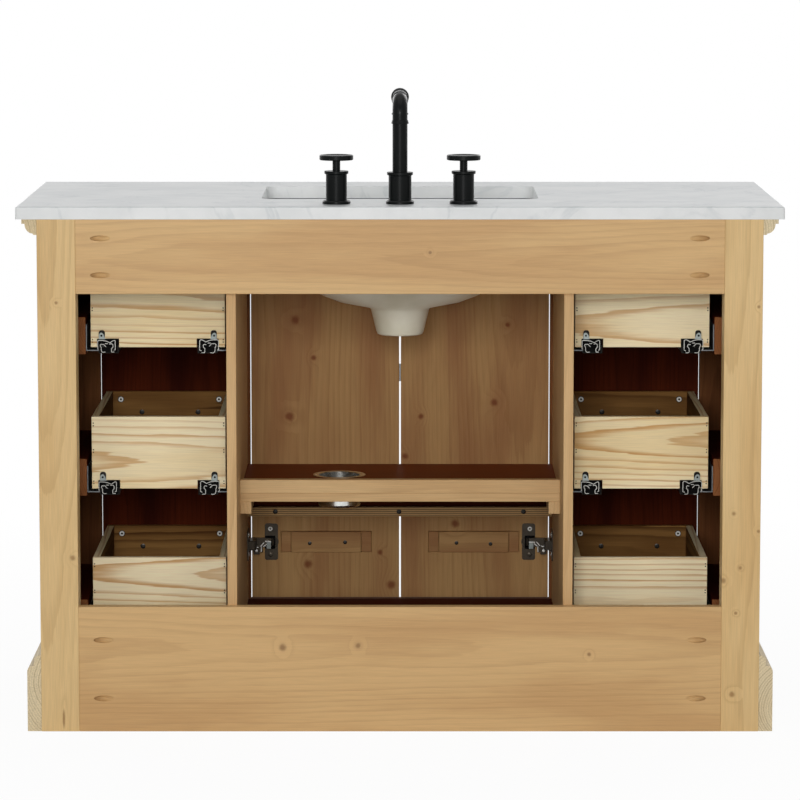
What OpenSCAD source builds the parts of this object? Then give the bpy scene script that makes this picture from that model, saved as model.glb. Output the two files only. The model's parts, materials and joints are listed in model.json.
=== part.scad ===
// Bathroom vanity unit: pine cabinet, marble counter, undermount bowl and widespread faucet.
// Millimetres. +Z is up, the front faces -Y, and the origin is on the floor under the middle.

/* [Countertop] */
// Width of the countertop
counter_w = 1219; // [1180:1:1300]
// Depth of the countertop
counter_d = 559; // [545:1:600]
// Thickness of the countertop
counter_t = 20; // [15:1:30]
// Height of the countertop's upper face above the floor
unit_h = 845; // [840:1:900]
// Radius of the eased upper edges and corners
ease_r = 3; // [1:0.5:5]
// Counter beyond the posts at each side
side_overhang = 33.5; // [28:0.5:45]
// Counter beyond the face frame at the front
front_overhang = 32; // [31:0.5:45]

/* [Sink] */
// Width of the counter's cut-out
cutout_w = 450; // [400:1:456]
// Depth of the counter's cut-out, front to back
cutout_d = 283; // [250:1:300]
// Corner radius of the cut-out
cutout_r = 18; // [8:1:40]
// Share of the free room behind the face frame that lies in front of the bowl's clips
sink_share = 0.351; // [0.1:0.001:0.9]
// Depth of the bowl inside
bowl_depth = 166; // [140:1:190]
// Wall of the bowl
bowl_wall = 11; // [8:0.5:13]
// Width of the flange round the bowl
flange_w = 12; // [10:1:14]
// Thickness of the flange
flange_t = 14; // [10:1:18]
// Corner radius of the flange
flange_r = 45; // [20:1:60]
// Radius of the drain hole
drain_r = 22.5; // [20:0.5:26]
// Radius of the drain's seat in the bowl's floor
drain_seat_r = 31; // [29:0.5:35]
// Depth of the drain's seat
drain_seat_d = 3; // [2:0.5:4]
// Radius of the drain boss at the bowl
boss_r = 48.5; // [40:0.5:56]
// Radius of the drain boss at its foot
boss_foot_r = 39.5; // [34:0.5:46]
// Height of the drain boss below the bowl
boss_h = 39; // [25:1:50]
// Middle of the bowl to the sink clips, sideways
clip_x = 150; // [120:1:180]
// Width of a sink clip
clip_w = 22; // [15:1:40]
// Thickness of a sink clip
clip_t = 4; // [2:0.5:6]

/* [Faucet] */
// Handle axis to spout axis
handle_spread = 101.6; // [90:0.1:115]
// Counter's rear edge to the line of faucet holes
faucet_back = 66; // [60:1:75]
// Radius of a faucet hole in the counter
faucet_hole_r = 17.5; // [13:0.5:19]
// Radius of the flanges on the counter
base_flange_r = 22.5; // [21:0.25:28]
// Radius of the spout's body
spout_body_r = 18.25; // [16:0.25:20]
// Height of the spout's body above the counter
spout_body_h = 50.5; // [40:0.5:70]
// Radius of the spout's pipe
pipe_r = 12; // [10:0.25:13]
// Height of the spout's arm above the counter
arm_h = 165; // [140:1:200]
// Spout axis to outlet axis
spout_reach = 134.5; // [120:0.5:160]
// Radius of the pipe's bends
bend_r = 22; // [18:1:28]
// Length of the spout below its arm
drop_h = 60; // [45:1:70]
// Depth of the bore that the pipe turns in
spout_socket = 20; // [15:1:30]
// Depth of the bores that the stems turn in
stem_socket = 15; // [10:1:25]
// Radius of a valve body
valve_r = 16.75; // [14:0.25:19]
// Height of a valve body above the counter
valve_h = 52.5; // [40:0.5:65]
// Radius of a handle's stem
stem_r = 6.2; // [5:0.1:8]
// Radius of a handle
handle_r = 27; // [22:0.5:34]
// Thickness of a handle
handle_t = 8; // [6:0.5:12]
// Height of a handle's top above the counter
handle_top = 78; // [70:1:95]
// Radius of the shanks that pass through the counter
shank_r = 14; // [13:0.25:15]
// Length of the shanks below the counter's upper face
shank_h = 45; // [40:1:55]
// Radius of the inlet threads below the shanks
inlet_r = 10.25; // [9:0.25:12]
// Length of the inlet threads
inlet_h = 30; // [20:1:40]
// Across the flats of the mounting nuts
nut_af = 40; // [36:1:46]
// Thickness of the mounting nuts
nut_t = 9; // [6:0.5:14]
// Thickness of the washers over the nuts
washer_t = 3; // [2:0.5:5]

/* [Cabinet] */
// Width of a rear post
post_w = 61; // [50:1:75]
// Depth of a rear post
post_d = 50; // [40:1:60]
// Thickness of the face frame, the doors and the drawer fronts
frame_t = 20; // [16:0.5:24]
// Width of the face frame's outer stiles
stile_w = 62.5; // [50:0.5:80]
// Width of the face frame's inner stiles
mullion_w = 24.5; // [20:0.5:28]
// Height of the face frame's top rail
head_h = 37; // [32:1:60]
// Height of the face frame's bottom rail
sill_h = 100; // [60:1:110]
// Height of the cabinet floor above the ground
floor_z = 128; // [126:1:150]
// Thickness of the cabinet floor
floor_t = 18; // [12:1:25]
// Thickness of the back rails
rail_t = 20; // [15:1:25]
// Height of the back top rail
back_top_h = 118.6; // [90:0.1:140]
// Height of the back bottom rail
back_bottom_h = 203; // [150:1:230]
// Gap between the bowl's flange and the partitions
bay_gap = 10.5; // [4:0.5:30]
// Thickness of the partitions
partition_t = 15.5; // [12:0.5:19]
// Thickness of the side frames
side_t = 20; // [16:1:24]
// Width of the side frames' front stiles
side_stile_w = 60; // [45:1:80]
// Height of the side frames' top rails
side_top_h = 80; // [60:1:110]
// Height of the side frames' bottom rails
side_bottom_h = 120; // [90:1:140]
// Height of the side frames' bottom rails above the ground
side_bottom_z = 40; // [20:1:60]
// Thickness of the side panels
panel_t = 12; // [8:1:14]
// Depth of the rabbets that hold the side panels
rabbet = 10; // [6:1:14]

/* [Pocket holes] */
// Diameter of the pocket-screw holes in the back rails
pocket_d = 9.5; // [8:0.1:11]
// Tilt of the pockets from the rail's face
pocket_tilt = 17; // [15:1:20]
// Rail's end to the middle of a pocket
pocket_in = 40; // [35:1:55]
// Pockets from the top rail's edges
pocket_top = 30; // [20:1:40]
// Pockets from the bottom rail's edges
pocket_bottom = 54; // [40:1:70]

/* [Mouldings] */
// Projection of the crown moulding
crown_p = 23.8; // [20:0.1:26]
// Height of the crown moulding
crown_h = 24.8; // [20:0.1:30]
// Thickness of the base plinth
plinth_t = 22.5; // [18:0.5:26]
// Top of the base plinth below the cabinet floor
plinth_drop = 4; // [2:1:30]
// Mouldings' ends in front of the back plane
moulding_back = 2; // [0:0.5:6]

/* [Shelf] */
// Height of the shelf's upper face
shelf_z = 364; // [340:1:420]
// Thickness of the shelf
shelf_t = 14; // [12:0.5:20]
// Back plane to the shelf's rear edge
shelf_back = 155; // [120:1:200]
// Face frame to the shelf's front edge
shelf_front_gap = 7; // [4:0.5:12]
// Height of the lip on the shelf's rear edge
lip_h = 22; // [15:1:35]
// Thickness of the lip
lip_t = 18; // [12:1:22]
// Height of the cleats under the shelf
cleat_h = 20; // [15:1:30]
// Width of the cleats under the shelf
cleat_w = 18.5; // [12:0.5:25]
// Sideways place of the cup in the shelf
cup_x = 102; // [60:1:180]
// Back plane to the middle of the cup
cup_back = 367; // [330:1:400]
// Radius of the cup
cup_r = 36; // [30:0.5:42]
// Depth of the cup
cup_depth = 57; // [40:1:66]
// Width of the cup's rim
cup_rim = 8.25; // [5:0.25:12]
// Wall of the cup
cup_wall = 1; // [0.8:0.1:1.5]
// Height of the door stop's lower edge
stop_z = 275; // [265:1:284]
// Height of the door stop
stop_h = 16.5; // [12:0.5:19]
// Depth of the door stop
stop_d = 20; // [15:1:30]

/* [Doors] */
// Gap above and below the doors and the drawer fronts, and between the doors
front_gap = 3; // [2:0.25:4]
// Gap beside the doors and the drawer fronts
side_gap = 2; // [1.5:0.25:4]
// Door's upper and lower edges to the hinges
hinge_in = 97; // [80:1:110]
// Door's edge to the middle of a hinge cup
cup_in = 33.5; // [30:0.5:40]
// Radius of a hinge cup
hinge_cup_r = 12.5; // [11:0.5:14]
// Depth of a hinge cup in the door
hinge_cup_d = 11; // [8:0.5:13]
// Height of a hinge's plate on the door
hinge_plate_h = 63.5; // [50:0.5:70]
// Thickness of a hinge's plates
hinge_plate_t = 1.6; // [1:0.1:2]
// Length of a hinge's bar on the partition
hinge_bar_l = 50; // [40:1:60]
// Gap between a door's batten and the hinge plates
batten_gap = 5.2; // [3:0.1:20]
// Height of a door's batten
batten_h = 36.5; // [25:0.5:45]
// Door's free edge to its batten
batten_in = 47.5; // [40:0.5:50]
// Door's lower edge to the middle of its batten
batten_z = 97; // [80:1:110]
// Depth of the batten's recess in the door
batten_d = 6; // [4:0.5:8]
// Batten's bar proud of the door
batten_proud = 5; // [3:0.5:7]
// Width of the batten's end blocks
block_w = 16.5; // [10:0.5:22]
// Height of the latch's middle above the floor
latch_z = 519; // [440:1:560]
// Height of the latch's plates
latch_h = 30; // [20:1:40]
// Thickness of the latch's plates
latch_t = 3; // [2:0.5:4]

/* [Drawers] */
// Height of the top drawers' show fronts
top_front_h = 189; // [160:1:215]
// Height of the drawer boxes
box_h = 118.5; // [100:0.5:122]
// Length of the drawer boxes
box_l = 350; // [330:1:360]
// Thickness of the drawer boxes' sides
box_wall = 12; // [10:0.5:13]
// Drawer box above its front's lower edge
box_lift = 8; // [8:0.5:12]
// Clearance at each side of a drawer box
box_side_gap = 7.75; // [6:0.25:10]
// Thickness of the drawer bottoms
bottom_t = 5; // [4:0.5:8]
// Pull's foot to foot
pull_span = 128; // [96:1:160]
// Pull's bar to the drawer front
pull_out = 24; // [18:0.5:25]
// Radius of the pull's bar
pull_r = 5; // [4:0.5:6]

/* [Drawer slides] */
// Face frame's edge to the slide cleats' faces, inwards
cleat_proud = 2.5; // [1:0.5:4]
// Height of the slide cleats
slide_cleat_h = 61; // [50:1:64]
// Slide cleats beyond the drawer boxes' backs
slide_cleat_over = 7; // [2:1:40]
// Width of a slide's rail
rail_w = 32; // [28:1:36]
// Thickness of the slides' sheet
sheet_t = 1.6; // [1.2:0.1:2]
// Height of the slides' runners, from the box's lower edge
runner_h = 14; // [12:0.5:16]
// Depth of the slides' rails below the box's lower edge
rail_drop = 10; // [9:0.25:10]
// Height of the slides' side flanges
flange_h = 43; // [30:1:50]
// Height of the rear hooks above the runners
hook_h = 14; // [10:1:20]

/* [Hidden] */
$fn = 48;
// Open joint between boards of one frame
joint_gap = 0.1;
// Cut past a face
over = 1;
// Clearance of a turning shaft in its bore, on the radius
running = 0.05;
// Clearance of a piece that rests on another body's seat
seat = 0.3;
// Clearance of a loose panel or block in its recess
loose = 0.5;

counter_z = unit_h - counter_t;
half_w = counter_w / 2 - side_overhang;
back_y = counter_d / 2;
front_y = front_overhang - counter_d / 2;
inside_y = front_y + frame_t;
rail_y = back_y - rail_t;
post_x = half_w - post_w;

bowl_hx = cutout_w / 2 + 3;
bowl_hy = cutout_d / 2 + 3;
flange_hx = bowl_hx + bowl_wall + flange_w;
flange_hy = bowl_hy + bowl_wall + flange_w;
clip_out = 8;
faucet_y = back_y - faucet_back;
nut_r = nut_af / 2 / cos(30);
washer_r = max(faucet_hole_r + 7, nut_r + 1.4);
sink_room = faucet_y - washer_r - inside_y - 2 * (flange_hy + clip_out);
sink_y = inside_y + sink_share * sink_room + clip_out + flange_hy;

opening_top = counter_z - head_h;
bay_half = flange_hx + bay_gap;
partition_x = bay_half + partition_t;
mullion_in = bay_half + partition_t / 2 - mullion_w / 2;
mullion_out = mullion_in + mullion_w;
stile_in = half_w - stile_w;
side_x = half_w - side_t;
panel_low = side_bottom_z + side_bottom_h - rabbet;
panel_high = counter_z - side_top_h + rabbet;

plinth_h = floor_z - plinth_drop;
front_low = floor_z + front_gap;
front_high = opening_top - front_gap;
door_edge = mullion_in - side_gap;
door_free = front_gap / 2;
hinge_x = mullion_in - side_gap / 2;
cup_cx = door_edge - cup_in;
cup_y = back_y - cup_back;
hinge_plate_w = 2 * hinge_cup_r - 2.4;
batten_x0 = door_free + batten_in;
batten_x1 = cup_cx - hinge_plate_w / 2 - batten_gap;

cleat_face = stile_in - cleat_proud;
box_x0 = partition_x + box_side_gap;
box_x1 = cleat_face - box_side_gap;
front_x0 = mullion_out + side_gap;
front_x1 = stile_in - side_gap;
drawer_x = (front_x0 + front_x1) / 2;
drawer_pitch = (front_high - top_front_h - front_low) / 2;
box_back = inside_y + box_l;
rail_u = box_side_gap + box_wall + 0.75;

SIDES = ["right", "left"];
LEVELS = ["bottom", "middle", "top"];
DRAWER_PARTS = ["box", "front", "pull", "runners"];
DRAWER_NODES = [
    for (s = SIDES, l = LEVELS, p = DRAWER_PARTS) str(s, "_", l, "_drawer_", p)
];
FIXED_NODES = [
    "countertop", "sink", "sink_clips", "spout_base", "valve_bodies", "faucet_nuts",
    "crown_moulding", "base_plinth", "rear_posts", "back_top_rail", "back_bottom_rail",
    "side_frames", "side_panels", "face_frame", "partitions", "cabinet_floor",
    "shelf", "shelf_lip", "shelf_cleats", "shelf_cup", "door_stop",
    "slide_cleats", "slide_rails", "hinge_arms"
];
MOVING_NODES = [
    "spout", "right_handle", "left_handle",
    "right_door", "right_door_batten", "right_hinge_cups", "door_latch",
    "left_door", "left_door_batten", "left_hinge_cups", "latch_keeper"
];

pine = "burlywood";
raw_pine = "wheat";
stained = "saddlebrown";
black = "#222222";
steel = "silver";

// Height of a drawer box's lower edge, counted from the bottom
function box_z(level) = front_low + box_lift + level * drawer_pitch;
// Lower and upper edges of a drawer's show front
function front_z0(level) = front_low + level * drawer_pitch;
function front_z1(level) = level == 2 ? front_high : front_z0(level + 1) - front_gap;
// Points along an elliptical arc
function arc(c, rx, ry, a0, a1, n) = [
    for (i = [0:n]) let (a = a0 + (a1 - a0) * i / n) [c[0] + rx * cos(a), c[1] + ry * sin(a)]
];

// A rectangular board from its lowest to its highest corner
module board(a, b) {
    translate(a) cube(b - a);
}

// Draws the right-hand piece and its mirror image
module both_sides() {
    children();
    mirror([1, 0, 0]) children();
}

// Draws the right-hand piece on the named side only
module on_side(side) {
    mirror([side == "left" ? 1 : 0, 0, 0]) children();
}

// A flat plate with round corners, its middle at the origin, growing upwards
module round_plate(w, d, t, r) {
    linear_extrude(t) union() {
        square([w - 2 * r, d], center = true);
        square([w, d - 2 * r], center = true);
        for (x = [-1, 1], y = [-1, 1]) translate([x * (w / 2 - r), y * (d / 2 - r)]) circle(r);
    }
}

// What an eased edge removes from a corner at the origin
module ease_cut() {
    difference() {
        translate([-ease_r, -ease_r]) square(ease_r + over);
        translate([-ease_r, -ease_r]) circle(ease_r);
    }
}

// Countertop with its eased edges, sink cut-out and faucet holes
module countertop() {
    color("gainsboro") difference() {
        board([-counter_w / 2, -counter_d / 2, counter_z], [counter_w / 2, counter_d / 2, unit_h]);
        both_sides() {
            translate([counter_w / 2, back_y + over, unit_h]) rotate([90, 0, 0])
                linear_extrude(counter_d + 2 * over) ease_cut();
            for (m = [0, 1]) mirror([0, m, 0]) translate([counter_w / 2, back_y, counter_z - over])
                linear_extrude(counter_t + 2 * over) ease_cut();
        }
        for (m = [0, 1]) mirror([0, m, 0]) translate([-counter_w / 2 - over, back_y, unit_h])
            rotate([90, 0, 90]) linear_extrude(counter_w + 2 * over) ease_cut();
        translate([0, sink_y, counter_z - over])
            round_plate(cutout_w, cutout_d, counter_t + 2 * over, cutout_r);
        for (x = [-1, 0, 1]) translate([x * handle_spread, faucet_y, counter_z - over])
            cylinder(h = counter_t + 2 * over, r = faucet_hole_r);
    }
}

// Rounded bowl that narrows to its floor along an ellipse, its brim at the origin
module bowl_form(hx, hy, depth, brim) {
    steps = 10;
    last = 84;
    hull() {
        for (i = [0:steps]) {
            a = last * i / steps;
            sx = hx * cos(a);
            sy = hy * cos(a);
            r = (0.2 + 0.78 * sin(a)) * min(sx, sy);
            for (x = [-1, 1], y = [-1, 1])
                translate([x * (sx - r), y * (sy - r), -depth * sin(a)])
                    cylinder(h = i == 0 ? brim : 0.5, r = r, $fn = 32);
        }
    }
}

// Undermount bowl with its flange, drain boss and drain hole
module sink() {
    bowl_low = bowl_depth + bowl_wall;
    top = bowl_low - 12;
    foot = bowl_low + boss_h;
    color("ivory") translate([0, sink_y, counter_z]) difference() {
        union() {
            translate([0, 0, -over]) bowl_form(bowl_hx + bowl_wall, bowl_hy + bowl_wall, bowl_low - over, 0.5);
            translate([0, 0, -flange_t]) round_plate(2 * flange_hx, 2 * flange_hy, flange_t, flange_r);
            rotate_extrude() polygon(concat(
                [[0, -top], [boss_r, -top], [boss_r, -bowl_low]],
                arc([boss_foot_r - 5, 6 - foot], 5, 6, 0, -90, 5),
                [[0, -foot]]));
        }
        bowl_form(bowl_hx, bowl_hy, bowl_depth, over);
        translate([0, 0, -bowl_depth - drain_seat_d]) cylinder(h = 4 * drain_seat_d, r = drain_seat_r);
        translate([0, 0, -foot - over]) cylinder(h = foot, r = drain_r);
    }
}

// Clips that hold the bowl's flange up against the counter
module sink_clips() {
    low = -flange_t - clip_t;
    grip = 12;
    color(steel) translate([0, sink_y, counter_z]) for (x = [-1, 1], m = [0, 1]) {
        translate([x * clip_x, 0, 0]) mirror([0, m, 0]) union() {
            board([-clip_w / 2, flange_hy, low], [clip_w / 2, flange_hy + clip_out, 0]);
            board([-clip_w / 2, flange_hy - grip, low], [clip_w / 2, flange_hy + over, -flange_t]);
        }
    }
}

// Turned faucet body on the counter: inlet, shank, flange, body with its top ring, and the
// bore that a pipe or stem turns in
module turned_body(body_r, body_h, bore, socket) {
    flange_t = 5.5;
    ring_p = 2.5;
    ring_h = 4;
    translate([0, faucet_y, unit_h]) rotate_extrude() polygon([
        [0, -shank_h - inlet_h], [inlet_r, -shank_h - inlet_h], [inlet_r, -shank_h],
        [shank_r, -shank_h], [shank_r, 0], [base_flange_r, 0],
        [base_flange_r, flange_t - 1.5], [base_flange_r - 1.5, flange_t], [body_r, flange_t],
        [body_r, body_h - ring_h - 1.5], [body_r + ring_p, body_h - ring_h],
        [body_r + ring_p, body_h], [bore, body_h], [bore, body_h - socket], [0, body_h - socket]
    ]);
}

// Base of the spout, with the bore that its pipe turns in
module spout_base() {
    color(black) turned_body(spout_body_r, spout_body_h, pipe_r + running, spout_socket);
}

// Spout: pipe with two bends, its collars, the drop and the outlet
module spout() {
    low = spout_body_h - spout_socket + seat;
    arm_end = spout_reach - bend_r;
    collar_low = arm_h - bend_r - 15;
    nose_h = 30;
    color(black) translate([0, faucet_y, unit_h]) difference() {
        union() {
            translate([0, 0, low]) cylinder(h = arm_h - bend_r - low, r = pipe_r);
            translate([0, 0, collar_low]) cylinder(h = 5.5, r1 = pipe_r + 2.2, r2 = pipe_r + 0.8);
            translate([0, -bend_r, arm_h - bend_r]) rotate([90, 0, 90])
                rotate_extrude(angle = 90) translate([bend_r, 0]) circle(pipe_r);
            translate([0, -bend_r, arm_h]) rotate([90, 0, 0])
                cylinder(h = arm_end - bend_r, r = pipe_r);
            translate([0, -bend_r - 1, arm_h]) rotate([90, 0, 0]) cylinder(h = 3, r = pipe_r + 1.3);
            translate([0, -arm_end + 10, arm_h]) rotate([90, 0, 0]) cylinder(h = 9, r = pipe_r + 2.4);
            translate([0, -arm_end, arm_h - bend_r]) rotate([90, 0, -90])
                rotate_extrude(angle = 90) translate([bend_r, 0]) circle(pipe_r);
            translate([0, -spout_reach, arm_h - drop_h])
                cylinder(h = drop_h - bend_r, r = pipe_r);
            translate([0, -spout_reach, arm_h - drop_h + nose_h]) cylinder(h = 2.5, r = pipe_r + 1.5);
        }
        translate([0, -spout_reach, arm_h - drop_h - over]) cylinder(h = 8 + over, r = pipe_r - 3);
    }
}

// Both valve bodies, with the bores that the handles' stems turn in
module valve_bodies() {
    color(black) both_sides() translate([handle_spread, 0, 0])
        turned_body(valve_r, valve_h, stem_r + running, stem_socket);
}

// Turning handle: stem and dished disc
module handle(side) {
    low = valve_h - stem_socket + seat;
    disc = handle_top - handle_t;
    color(black) on_side(side) translate([handle_spread, faucet_y, unit_h])
        rotate_extrude() polygon([
            [0, low], [stem_r, low], [stem_r, disc], [handle_r - 1, disc], [handle_r, disc + 1],
            [handle_r, handle_top - 1], [handle_r - 1, handle_top], [handle_r - 5, handle_top],
            [handle_r - 6.5, handle_top - 1], [0, handle_top - 1]
        ]);
}

// Washers and nuts that hold the faucet from below
module faucet_nuts() {
    color("goldenrod") for (x = [-1, 0, 1]) translate([x * handle_spread, faucet_y, counter_z])
        difference() {
            union() {
                translate([0, 0, -washer_t]) cylinder(h = washer_t, r = washer_r);
                translate([0, 0, -washer_t - nut_t]) cylinder(h = nut_t + over, r = nut_r, $fn = 6);
            }
            translate([0, 0, -washer_t - nut_t - over])
                cylinder(h = washer_t + nut_t + 2 * over, r = shank_r + 0.1);
        }
}

// Region in front of the face frame that the front length of a moulding keeps
module mitre_region(p) {
    reach = p + over;
    linear_extrude(unit_h) polygon([
        [-half_w, front_y], [half_w, front_y],
        [half_w + reach, front_y - reach], [-half_w - reach, front_y - reach]
    ]);
}

// A moulding's profile run along both sides and mitred round the front
module mitred_moulding(p) {
    intersection() {
        translate([half_w + p, front_y, 0]) rotate([90, 0, -90])
            linear_extrude(2 * (half_w + p)) children();
        mitre_region(p);
    }
    both_sides() difference() {
        translate([half_w, back_y - moulding_back, 0]) rotate([90, 0, 0])
            linear_extrude(back_y - moulding_back - front_y + p) children();
        translate([0, joint_gap, 0]) mitre_region(p);
    }
}

// Crown moulding: fillet, ovolo and bead
module crown_moulding() {
    fillet_h = 7.1;
    fillet_p = 4.9;
    bead = 2.3;
    neck = 6.2;
    color(pine) mitred_moulding(crown_p) translate([0, counter_z - crown_h]) polygon(concat(
        [[0, 0]],
        arc([neck - bead, bead], bead, bead, -90, 0, 4),
        arc([neck, crown_h - fillet_h], crown_p - fillet_p - neck, crown_h - fillet_h - bead, -90, 0, 10),
        [[crown_p, crown_h - fillet_h], [crown_p, crown_h], [0, crown_h]]
    ));
}

// Base plinth: flat face, bead and ovolo cap
module base_plinth() {
    bead_h = 9.5;
    bead_p = 8.5;
    cap_h = 9;
    cap_p = plinth_t / 2;
    face_h = plinth_h - 27;
    color(pine) mitred_moulding(plinth_t) polygon(concat(
        [[0, 0], [plinth_t, 0]],
        arc([plinth_t - bead_p, face_h], bead_p, bead_h, 0, 90, 6),
        [[cap_p, face_h + bead_h]],
        arc([1, plinth_h - cap_h], cap_p - 1, cap_h, 0, 90, 6),
        [[0, plinth_h]]
    ));
}

// Rear corner posts, rabbeted for the side panels
module rear_posts() {
    color(pine) both_sides() difference() {
        board([post_x, back_y - post_d, 0], [half_w, back_y, counter_z]);
        board([side_x - over, back_y - post_d - over, panel_low],
              [side_x + panel_t, back_y - post_d + rabbet, panel_high]);
    }
}

// Angled pocket-screw holes near both ends of a back rail, at the given heights
module pockets(heights) {
    length = pocket_d * 5;
    deep = pocket_d / 2 / tan(pocket_tilt) + 4;
    both_sides() for (z = heights)
        translate([post_x - pocket_in, back_y, z]) rotate([0, 0, -pocket_tilt]) rotate([0, 90, 0])
            translate([0, 0, deep - length]) cylinder(h = length, r = pocket_d / 2);
}

// Wide rail behind the bowl, under the counter
module back_top_rail() {
    low = counter_z - back_top_h;
    color(pine) difference() {
        board([-post_x, rail_y, low], [post_x, back_y, counter_z]);
        pockets([low + pocket_top, counter_z - pocket_top]);
    }
}

// Wide rail at the floor
module back_bottom_rail() {
    color(pine) difference() {
        board([-post_x, rail_y, 0], [post_x, back_y, back_bottom_h]);
        pockets([pocket_bottom, back_bottom_h - pocket_bottom]);
    }
}

// Front stile and two rails of each side, rabbeted for the panel
module side_frames() {
    stile_y = inside_y + side_stile_w;
    post_y = back_y - post_d;
    color(pine) both_sides() {
        difference() {
            board([side_x, inside_y, 0], [half_w, stile_y, counter_z]);
            board([side_x - over, stile_y - rabbet, panel_low],
                  [side_x + panel_t, stile_y + over, panel_high]);
        }
        difference() {
            board([side_x, stile_y + joint_gap, counter_z - side_top_h],
                  [half_w, post_y, counter_z]);
            board([side_x - over, stile_y, counter_z - side_top_h - over],
                  [side_x + panel_t, post_y + over, panel_high]);
        }
        difference() {
            board([side_x, stile_y + joint_gap, side_bottom_z],
                  [half_w, post_y, side_bottom_z + side_bottom_h]);
            board([side_x - over, stile_y, panel_low],
                  [side_x + panel_t, post_y + over, side_bottom_z + side_bottom_h + over]);
        }
    }
}

// Flat panels in the side frames' rabbets
module side_panels() {
    color(stained) both_sides() board(
        [side_x, inside_y + side_stile_w - rabbet + loose, panel_low + loose],
        [side_x + panel_t, back_y - post_d + rabbet - loose, panel_high - loose]);
}

// Face frame: outer stiles, top and bottom rails, inner stiles
module face_frame() {
    color(pine) {
        both_sides() {
            board([stile_in, front_y, 0], [half_w, inside_y, counter_z]);
            board([mullion_in, front_y, floor_z + joint_gap],
                  [mullion_out, inside_y, opening_top - joint_gap]);
        }
        board([joint_gap - stile_in, front_y, opening_top],
              [stile_in - joint_gap, inside_y, counter_z]);
        board([joint_gap - stile_in, front_y, floor_z - sill_h],
              [stile_in - joint_gap, inside_y, floor_z]);
    }
}

// Upright boards between the centre bay and the drawers
module partitions() {
    color(stained) both_sides()
        board([bay_half, inside_y, floor_z], [partition_x, rail_y, counter_z]);
}

// Cabinet floor, notched round the rear posts
module cabinet_floor() {
    color(stained) union() {
        board([-side_x, inside_y, floor_z - floor_t], [side_x, back_y - post_d, floor_z]);
        board([-post_x, inside_y, floor_z - floor_t], [post_x, rail_y, floor_z]);
    }
}

// Shelf of the centre bay, bored for the cup
module shelf() {
    color(stained) difference() {
        board([-bay_half, inside_y + shelf_front_gap, shelf_z - shelf_t],
              [bay_half, back_y - shelf_back, shelf_z]);
        translate([cup_x, cup_y, shelf_z - shelf_t - over])
            cylinder(h = shelf_t + 2 * over, r = cup_r + loose);
    }
}

// Lip that stands on the shelf's rear edge
module shelf_lip() {
    y = back_y - shelf_back;
    color(pine) board([-bay_half, y - lip_t, shelf_z], [bay_half, y, shelf_z + lip_h]);
}

// Cleats on the partitions that carry the shelf
module shelf_cleats() {
    low = shelf_z - shelf_t - cleat_h;
    color(pine) both_sides() board([bay_half - cleat_w, inside_y + shelf_front_gap, low],
                                   [bay_half, back_y - shelf_back, low + cleat_h]);
}

// Steel cup that hangs in the shelf by its rim
module shelf_cup() {
    rim_t = 1.5;
    color(steel) translate([cup_x, cup_y, shelf_z]) rotate_extrude() polygon([
        [0, -cup_depth], [cup_r - 2, -cup_depth], [cup_r, 2 - cup_depth], [cup_r, 0],
        [cup_r + cup_rim, 0], [cup_r + cup_rim, 0.6], [cup_r + cup_rim - 1, rim_t],
        [cup_r - cup_wall, rim_t], [cup_r - cup_wall, 2 + cup_wall - cup_depth],
        [cup_r - 2, cup_wall - cup_depth], [0, cup_wall - cup_depth]
    ]);
}

// Plywood rail that the doors close against
module door_stop() {
    y = inside_y + loose;
    color(pine) board([-bay_half, y, stop_z], [bay_half, y + stop_d, stop_z + stop_h]);
}

// Cleats on the side panels that carry the outer slides
module slide_cleats() {
    color(stained) both_sides() for (k = [0:2]) {
        low = box_z(k) - front_gap - box_lift;
        board([cleat_face, inside_y, low], [side_x, box_back + slide_cleat_over, low + slide_cleat_h]);
    }
}

// Section of a slide's fixed rail: flange on the wall, web and lipped channel
module slide_rail_section() {
    web = 0.6 * rail_drop;
    lip = 6.5;
    union() {
        translate([0, -web]) square([sheet_t, flange_h]);
        translate([0, -web]) square([rail_u + sheet_t, sheet_t]);
        translate([rail_u, -rail_drop]) difference() {
            square([rail_w, rail_drop + 2]);
            translate([sheet_t, sheet_t]) square([rail_w - 2 * sheet_t, rail_drop + 2 - 2 * sheet_t]);
            translate([lip, sheet_t]) square([rail_w - 2 * lip, rail_drop + 2]);
        }
    }
}

// Section of a slide's runner: carriage inside the channel, neck and top plate
module runner_section() {
    low = sheet_t + seat - rail_drop;
    high = 2 - sheet_t - seat;
    carriage = rail_w - 2 * (sheet_t + 1.9);
    neck = rail_w - 2 * 8.5;
    difference() {
        translate([rail_u + rail_w / 2, 0]) union() {
            translate([-carriage / 2, low]) square([carriage, high - low]);
            translate([-neck / 2, low]) square([neck, runner_h - low]);
            translate([0.5 - rail_w / 2, runner_h - sheet_t]) square([rail_w - 1, sheet_t]);
        }
        translate([rail_u + rail_w / 2 - neck / 2 + sheet_t, low + sheet_t])
            square([neck - 2 * sheet_t, runner_h - 2 * sheet_t - low]);
    }
}

// Places the children against the partition and, turned round, against the cleat
module at_both_walls(z) {
    translate([partition_x, 0, z]) children();
    translate([cleat_face, 0, z]) mirror([1, 0, 0]) children();
}

// Fixed rails of all the slides
module slide_rails() {
    y0 = inside_y + box_wall + 1.5;
    color(steel) both_sides() for (k = [0:2]) at_both_walls(box_z(k))
        translate([0, box_back, 0]) rotate([90, 0, 0])
            linear_extrude(box_back - y0) slide_rail_section();
}

// Runners of one drawer with their rear hooks
module drawer_runners(side, level) {
    y0 = inside_y + box_wall;
    hook_t = 2;
    hook_w = 10;
    color("dimgray") on_side(side) at_both_walls(box_z(level)) union() {
        translate([0, box_back + hook_t, 0]) rotate([90, 0, 0])
            linear_extrude(box_back + hook_t - y0) runner_section();
        translate([rail_u + 0.5, box_back, runner_h - sheet_t])
            cube([hook_w, hook_t, hook_h + sheet_t]);
    }
}

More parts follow.
